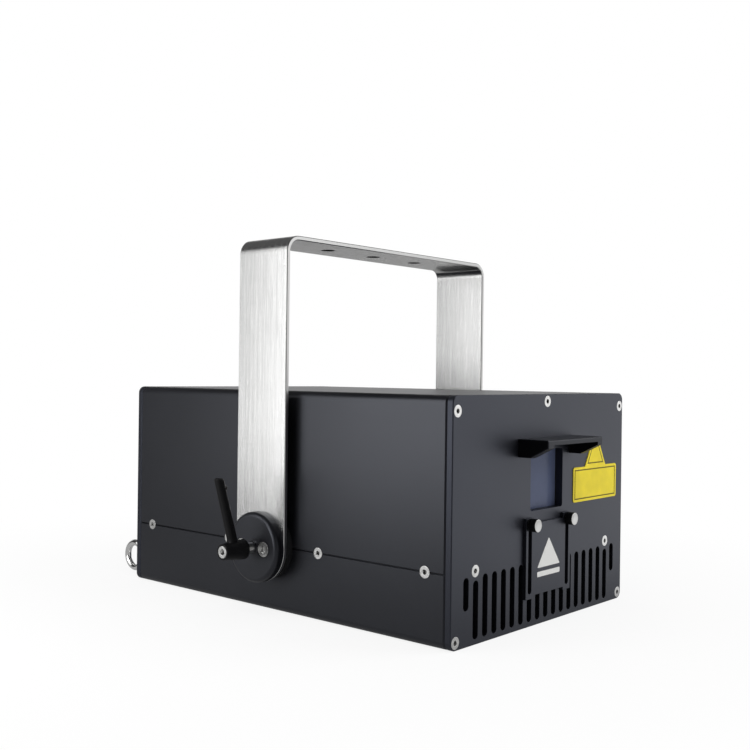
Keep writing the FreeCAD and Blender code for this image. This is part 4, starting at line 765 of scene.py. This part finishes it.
class PROJECTOR_OT_clamp_levers(bpy.types.Operator):
    """Model the two cast clamping levers, each arm flowing into its hub"""
    bl_idname = "projector.clamp_levers"
    bl_label = "Clamping levers"

    def execute(self, context):
        sizes = context.scene.projector_sizes
        finishes = [finish_named("powder_coat", cast_finish)]
        for side, out in SIDES.items():
            piece = self.model(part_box(f"{side}_clamp_lever"), out, sizes)
            set_in_place(piece, f"{side}_cast_lever", f"{side}_lever", finishes, 50)
            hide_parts(f"{side}_clamp_lever")
        return {"FINISHED"}

    def model(self, corners, out, sizes):
        """A turned hub, an arm drawn up from it and a small nib, melted into one casting and bored."""
        low, high = corners
        start = min(abs(low.x), abs(high.x))
        end = start + sizes.lever_hub
        axis = Vector((0, (low.y + high.y) / 2, low.z + sizes.lever_foot))
        middle_x = out * (start + end) / 2
        hub = open_shape(bpy.ops.mesh.primitive_cylinder_add, vertices=56, radius=sizes.lever_foot,
                         depth=sizes.lever_hub, location=(middle_x, axis.y, axis.z),
                         rotation=(0, math.pi / 2, 0))
        straight = 3 * MM
        bpy.ops.mesh.bisect(plane_co=(out * (start + straight), 0, 0), plane_no=(1, 0, 0))
        pick("VERT", lambda vert: abs(vert.co.x) > end - NEAR)
        narrow = sizes.lever_nose / sizes.lever_foot
        resize(1, narrow, narrow, (out * end, axis.y, axis.z))
        close_shape()

        root_x, lean, wide = start + sizes.lever_root, sizes.lever_lean, sizes.lever_arm
        top = high.z - axis.z
        root_z, root_height = 3 * MM, 5 * MM
        open_shape(bpy.ops.mesh.primitive_cube_add, size=1,
                   location=(out * root_x, axis.y, axis.z + root_z + root_height / 2),
                   stretch=(wide, 0.95 * wide, root_height))
        climb = top - root_z - root_height
        steps, taper = 4, (0.985, 0.98, 1)
        for step in range(steps):
            pick("FACE", lambda face: face.normal.z > 0.8)
            extrude(out * lean / steps, 0, climb / steps)
            spot = (out * (root_x + lean * (step + 1) / steps), axis.y, axis.z)
            resize(*taper, spot)
        pick("EDGE", lambda edge: abs(edge.verts[0].co.z - edge.verts[1].co.z) > 1 * MM
             or middle(edge).z > high.z - NEAR)
        arm_corner = 1.6 * MM
        bpy.ops.mesh.bevel(offset=arm_corner, segments=4, affect="EDGES")
        arm = close_shape()

        nib_z = top - sizes.nib_drop
        nib_x = root_x + lean * (nib_z - root_z) / (top - root_z) - wide / 2
        open_shape(bpy.ops.mesh.primitive_uv_sphere_add, segments=24, ring_count=14, radius=sizes.lever_nib,
                   location=(out * nib_x, axis.y, axis.z + nib_z))
        nib = close_shape()

        select_only(nib, arm, hub)
        bpy.ops.object.join()
        hub.data.remesh_voxel_size = sizes.lever_grain
        bpy.ops.object.voxel_remesh()
        apply_modifier(hub, "SMOOTH", factor=0.5, iterations=5)
        overrun = 4 * MM
        open_shape(bpy.ops.mesh.primitive_cylinder_add, vertices=64, radius=sizes.lever_bore,
                   depth=sizes.lever_hub + overrun, location=(middle_x, axis.y, axis.z),
                   rotation=(0, math.pi / 2, 0))
        cutter = close_shape()
        select_only(hub)
        apply_modifier(hub, "BOOLEAN", operation="DIFFERENCE", solver="EXACT", object=cutter)
        select_only(cutter)
        bpy.ops.object.delete()
        return hub


class PROJECTOR_OT_front_plate(bpy.types.Operator):
    """Model the bare enamelled plate on the front, with its tapering tab"""
    bl_idname = "projector.front_plate"
    bl_label = "Front plate"

    def execute(self, context):
        sizes = context.scene.projector_sizes
        width, height = sizes.plate_width, sizes.plate_height
        centre = Vector((sizes.plate_left + width / 2, FRONT, sizes.plate_low + height / 2))
        top = sizes.plate_low + height
        open_shape(bpy.ops.mesh.primitive_plane_add, size=1, location=centre, rotation=(math.pi / 2, 0, 0),
                   stretch=(width, height, 1))
        half_tab, tip_share = width * 0.235, 0.3
        for side in (-1, 1):
            bpy.ops.mesh.select_all(action="SELECT")
            bpy.ops.mesh.bisect(plane_co=(centre.x + side * half_tab, 0, 0), plane_no=(1, 0, 0))
        pick("EDGE", lambda edge: middle(edge).z > top - NEAR and abs(middle(edge).x - centre.x) < half_tab)
        extrude(0, 0, sizes.plate_tab)
        resize(tip_share, 1, 1, (centre.x, FRONT, top))
        pick("VERT", lambda vert: abs(abs(vert.co.x - centre.x) - width / 2) < NEAR
             or vert.co.z > top + MM)
        bpy.ops.mesh.bevel(offset=sizes.plate_corner, segments=6, affect="VERTICES")
        piece = close_shape(flat=True)
        apply_modifier(piece, "SOLIDIFY", thickness=sizes.plate_thickness, offset=1.0)
        bpy.ops.object.mode_set(mode="EDIT")
        for in_tab in (False, True):
            pick("FACE", lambda face: face.normal.y < -0.9 and face.material_index == 0
                 and (face.calc_center_median().z > top) == in_tab)
            bpy.ops.mesh.inset(thickness=sizes.plate_margin, depth=0)
            bpy.ops.mesh.inset(thickness=sizes.plate_line, depth=0, use_select_inset=True)
            shape = bmesh.from_edit_mesh(piece.data)
            for face in shape.faces:
                face.material_index = 1 if face.select else face.material_index
            bmesh.update_edit_mesh(piece.data)
        close_shape()
        finishes = [finish_named("yellow_enamel", plate_finish), finish_named("plate_line", line_finish)]
        set_in_place(piece, "front_plate", "housing", finishes)
        return {"FINISHED"}


class PROJECTOR_OT_slide_mark(bpy.types.Operator):
    """Model the printed mark on the mask, an arrowhead over a bar"""
    bl_idname = "projector.slide_mark"
    bl_label = "Slide mark"

    def execute(self, context):
        sizes = context.scene.projector_sizes
        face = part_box("aperture_shutter")[0].y
        width, low, high = sizes.mark_width, sizes.mark_low, sizes.mark_low + sizes.mark_height
        bar_top = low + sizes.mark_bar
        bar_corner, head_corner = 0.6 * MM, 1.1 * MM
        bar = self.strip(face, low, bar_top, width)
        pick("VERT", lambda vert: True)
        bpy.ops.mesh.bevel(offset=bar_corner, segments=4, affect="VERTICES")
        close_shape(flat=True)
        head = self.strip(face, bar_top + sizes.mark_gap, high, width)
        pick("VERT", lambda vert: vert.co.z > high - NEAR)
        bpy.ops.mesh.merge(type="CENTER")
        pick("VERT", lambda vert: True)
        bpy.ops.mesh.bevel(offset=head_corner, segments=5, affect="VERTICES")
        close_shape(flat=True)
        select_only(bar, head)
        bpy.ops.object.join()
        apply_modifier(head, "SOLIDIFY", thickness=sizes.mark_thickness, offset=1.0)
        set_in_place(head, "slide_mark", "shutter", [finish_named("white_ink", mark_finish)])
        return {"FINISHED"}

    def strip(self, face, low, high, width):
        """A flat strip on the mask, open for editing."""
        return open_shape(bpy.ops.mesh.primitive_plane_add, size=1, location=(0, face, (low + high) / 2),
                          rotation=(math.pi / 2, 0, 0), stretch=(width, high - low, 1))


class PROJECTOR_OT_lamps(bpy.types.Operator):
    """Model the three domed indicator lamps and their bezels"""
    bl_idname = "projector.lamps"
    bl_label = "Indicator lamps"

    def execute(self, context):
        low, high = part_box("status_lights")
        radius = (high.z - low.z) / 2
        step = (high.x - low.x - 2 * radius) / 2
        centre_z = (low.z + high.z) / 2
        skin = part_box("rear_panel")[1].y
        reach = 0.9 * MM
        first = self.lens(low.x + radius, low.y, high.y + reach, centre_z, radius)
        ring = self.bezel(low.x + radius, skin, centre_z, radius)
        lenses = [first] + [copy_piece(first, (step * turn, 0, 0)) for turn in (1, 2)]
        rings = [ring] + [copy_piece(ring, (step * turn, 0, 0)) for turn in (1, 2)]
        tints = {"red": (0.42, 0.02, 0.015), "green": (0.03, 0.3, 0.05), "amber": (0.5, 0.2, 0.01)}
        for lens, bezel, (name, rgb) in zip(lenses, rings, tints.items()):
            set_in_place(lens, f"{name}_lamp_lens", "housing", [lamp_finish(f"{name}_lens", rgb)])
            set_in_place(bezel, f"{name}_lamp_bezel", "housing", [finish_named("chrome", chrome_finish)])
        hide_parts("status_lights")
        return {"FINISHED"}

    def lens(self, x, start, end, z, radius):
        """A rod with a domed outer end."""
        open_shape(bpy.ops.mesh.primitive_cylinder_add, vertices=40, radius=radius, depth=end - start,
                   location=(x, (start + end) / 2, z), rotation=(math.pi / 2, 0, 0))
        dome = 1.5 * MM
        pick("EDGE", lambda edge: min(edge.verts[0].co.y, edge.verts[1].co.y) > end - NEAR)
        bpy.ops.mesh.bevel(offset=dome, segments=8, affect="EDGES")
        return close_shape()

    def bezel(self, x, skin, z, radius):
        """A thin rounded ring on the panel."""
        clearance, height, wall, corner = 0.05 * MM, 0.9 * MM, 0.9 * MM, 0.25 * MM
        piece = open_shape(bpy.ops.mesh.primitive_cylinder_add, vertices=48, radius=radius + clearance,
                           depth=height, end_fill_type="NOTHING", location=(x, skin + height / 2, z),
                           rotation=(math.pi / 2, 0, 0))
        close_shape()
        apply_modifier(piece, "SOLIDIFY", thickness=wall, offset=1.0)
        apply_modifier(piece, "BEVEL", width=corner, segments=3, limit_method="ANGLE")
        return piece


# Each lamp's place, the point that it faces, its width and height, and how its power is scaled
SIDE_LAMPS = {
    "left_lamp": ((-0.5, 0.15, 0.27), (0, 0.15, 0.27), (0.3, 0.5), 0.18),
    "rear_lamp": ((-0.5, 0.43, 0.27), (0, 0.43, 0.27), (0.26, 0.5), 0.048),
    "right_lamp": ((0.95, -1.05, 1.15), (0, 0, 0.1), (0.9, 0.9), 1.4),
}
TOP_LAMP = ((-0.15, -0.2, 1.6), (0, 0, 0.1), (1.7, 1.7))
# Directions in which polished surfaces find the room darker
REAR_LEFT, OVERHEAD, FRONT_LEFT = (-0.6, 0.8, 0), (0, 0, 1), (-0.752, -0.659, 0)


class PROJECTOR_OT_stage(bpy.types.Operator):
    """Set the floor, the studio lamps, the white background and the camera"""
    bl_idname = "projector.stage"
    bl_label = "Stage"

    def execute(self, context):
        settings = context.scene.projector_stage
        self.floor()
        self.background(settings)
        for name, (place, aim, size, scale) in SIDE_LAMPS.items():
            self.lamp(name, place, aim, size, scale * settings.side_lamps)
        top = self.lamp("top_lamp", *TOP_LAMP, settings.top_lamp)
        top.visible_glossy = False
        self.camera(settings)
        context.scene.view_settings.view_transform = "Standard"
        return {"FINISHED"}

    def seen(self, shading):
        """1 for what the camera sees, directly, mirrored or through glass."""
        path = shading.node("ShaderNodeLightPath", output="Is Camera Ray")
        rays = [Value(shading, path.socket.node.outputs[name])
                for name in ("Is Camera Ray", "Is Glossy Ray", "Is Transmission Ray")]
        return rays[0] + rays[1] + rays[2]

    def floor(self):
        """A wide pale floor that keeps the shadow near the object and is white further off.

        In mirrors it is white only at the front right and dimmer elsewhere.
        """
        open_shape(bpy.ops.mesh.primitive_plane_add, size=12)
        bpy.ops.mesh.subdivide(number_cuts=3)
        piece = close_shape()
        piece.name = "floor"
        shading = new_finish("pale_floor")
        paper = shading.noise(300, 3)
        diffuse = shading.node("ShaderNodeBsdfDiffuse", {}, {
            "Color": shading.blend(paper, (0.80, 0.80, 0.80, 1), (0.84, 0.84, 0.84, 1))})
        glossy = shading.node("ShaderNodeLightPath", output="Is Glossy Ray")
        right = shading.along(shading.place(), (1, 0, 0)).rise(-0.15, 0.3)
        front = shading.along(shading.place(), (0, -1, 0)).rise(0.1, 0.3)
        level = 1 - glossy * (1 - right * front)
        dim = shading.node("ShaderNodeEmission", {}, {"Color": (0.32, 0.32, 0.32, 1), "Strength": 1.0})
        white = shading.node("ShaderNodeEmission", {}, {"Color": (1, 1, 1, 1), "Strength": 1.0})
        glow = shading.node("ShaderNodeMixShader", {}, {0: level, 1: dim, 2: white})
        distance = shading.node("ShaderNodeVectorMath", {"operation": "LENGTH"},
                                {0: shading.place()}, "Value")
        share = self.seen(shading) * (0.86 + 0.14 * distance.rise(0.2, 0.5))
        mixed = shading.node("ShaderNodeMixShader", {}, {0: share, 1: diffuse, 2: glow})
        shading.node("ShaderNodeOutputMaterial", {}, {"Surface": mixed})
        piece.data.materials.append(shading.owner)

    def background(self, settings):
        """White where it is seen and a plain soft light elsewhere, with darker sides in mirrors."""
        world = bpy.data.worlds.new("studio")
        bpy.context.scene.world = world
        shading = Shading(world)
        towards = shading.node("ShaderNodeTexCoord", output="Generated")
        dim = 0.92 - 0.88 * shading.along(towards, REAR_LEFT).rise(0.72, 0.92)
        dim = dim * (1 - 0.9 * shading.along(towards, OVERHEAD).rise(0.2, 0.55))
        dim = dim * (1 - 0.8 * shading.along(towards, FRONT_LEFT).rise(0.5, 0.9))
        glossy = shading.node("ShaderNodeLightPath", output="Is Glossy Ray")
        strength = settings.room_light + (1 - settings.room_light) * self.seen(shading)
        strength = strength * (1 - glossy + glossy * dim)
        light = shading.node("ShaderNodeBackground", {}, {"Color": (1, 1, 1, 1), "Strength": strength})
        shading.node("ShaderNodeOutputWorld", {}, {"Surface": light})

    def lamp(self, name, place, aim, size, power):
        """A soft lamp of that width and height, turned towards a point."""
        bpy.ops.object.select_all(action="DESELECT")
        bpy.ops.object.light_add(type="AREA", location=place,
                                 rotation=(Vector(aim) - Vector(place)).to_track_quat("-Z", "Y").to_euler())
        light = bpy.context.object
        light.name = name
        light.data.shape = "RECTANGLE"
        light.data.size, light.data.size_y = size
        light.data.energy = power
        return light

    def camera(self, settings):
        """The camera at the place and turn worked out from the housing's edges."""
        place = (-0.58402, -0.51301, 0.16362)
        yaw, pitch, roll = -0.8514, 0.0004, 0.0125
        ahead = Vector((-math.sin(yaw) * math.cos(pitch), math.cos(yaw) * math.cos(pitch),
                        -math.sin(pitch)))
        right = Vector((math.cos(yaw), math.sin(yaw), 0))
        up = right.cross(ahead)
        tilted_right = right * math.cos(roll) + up * math.sin(roll)
        tilted_up = up * math.cos(roll) - right * math.sin(roll)
        turn = Matrix((tilted_right, tilted_up, -ahead)).transposed()
        bpy.ops.object.select_all(action="DESELECT")
        bpy.ops.object.camera_add(location=place, rotation=turn.to_euler())
        camera = bpy.context.object
        camera.data.lens = settings.lens
        camera.data.sensor_width = 36
        camera.data.clip_start = 0.01
        bpy.context.scene.camera = camera


OPERATORS = (
    PROJECTOR_OT_finishes, PROJECTOR_OT_thumb_screws, PROJECTOR_OT_clamp_levers, PROJECTOR_OT_front_plate,
    PROJECTOR_OT_slide_mark, PROJECTOR_OT_lamps, PROJECTOR_OT_stage,
)


class PROJECTOR_PT_build(bpy.types.Panel):
    """Lists what makes the projector, with its sizes and colours"""
    bl_idname = "PROJECTOR_PT_build"
    bl_label = "Laser Show Projector"
    bl_space_type = "VIEW_3D"
    bl_region_type = "UI"
    bl_category = "Projector"

    def draw(self, context):
        scene = context.scene
        for settings in (scene.projector_colours, scene.projector_sizes, scene.projector_stage):
            box = self.layout.box()
            for name in settings.__annotations__:
                box.prop(settings, name)
        for operator in OPERATORS:
            self.layout.operator(operator.bl_idname)


SETTINGS = {"projector_colours": ProjectorColours, "projector_sizes": ProjectorSizes,
            "projector_stage": ProjectorStage}
CLASSES = (*SETTINGS.values(), *OPERATORS, PROJECTOR_PT_build)


def register():
    """Registers the classes and hangs the settings on the scene."""
    for kind in CLASSES:
        bpy.utils.register_class(kind)
    for name, kind in SETTINGS.items():
        setattr(bpy.types.Scene, name, bpy.props.PointerProperty(type=kind))


def unregister():
    """Undoes register."""
    for name in SETTINGS:
        delattr(bpy.types.Scene, name)
    for kind in reversed(CLASSES):
        bpy.utils.unregister_class(kind)


def main():
    """Builds everything in order."""
    register()
    bpy.ops.projector.finishes()
    bpy.ops.projector.thumb_screws()
    bpy.ops.projector.clamp_levers()
    bpy.ops.projector.front_plate()
    bpy.ops.projector.slide_mark()
    bpy.ops.projector.lamps()
    bpy.ops.projector.stage()


if __name__ == "__main__":
    main()
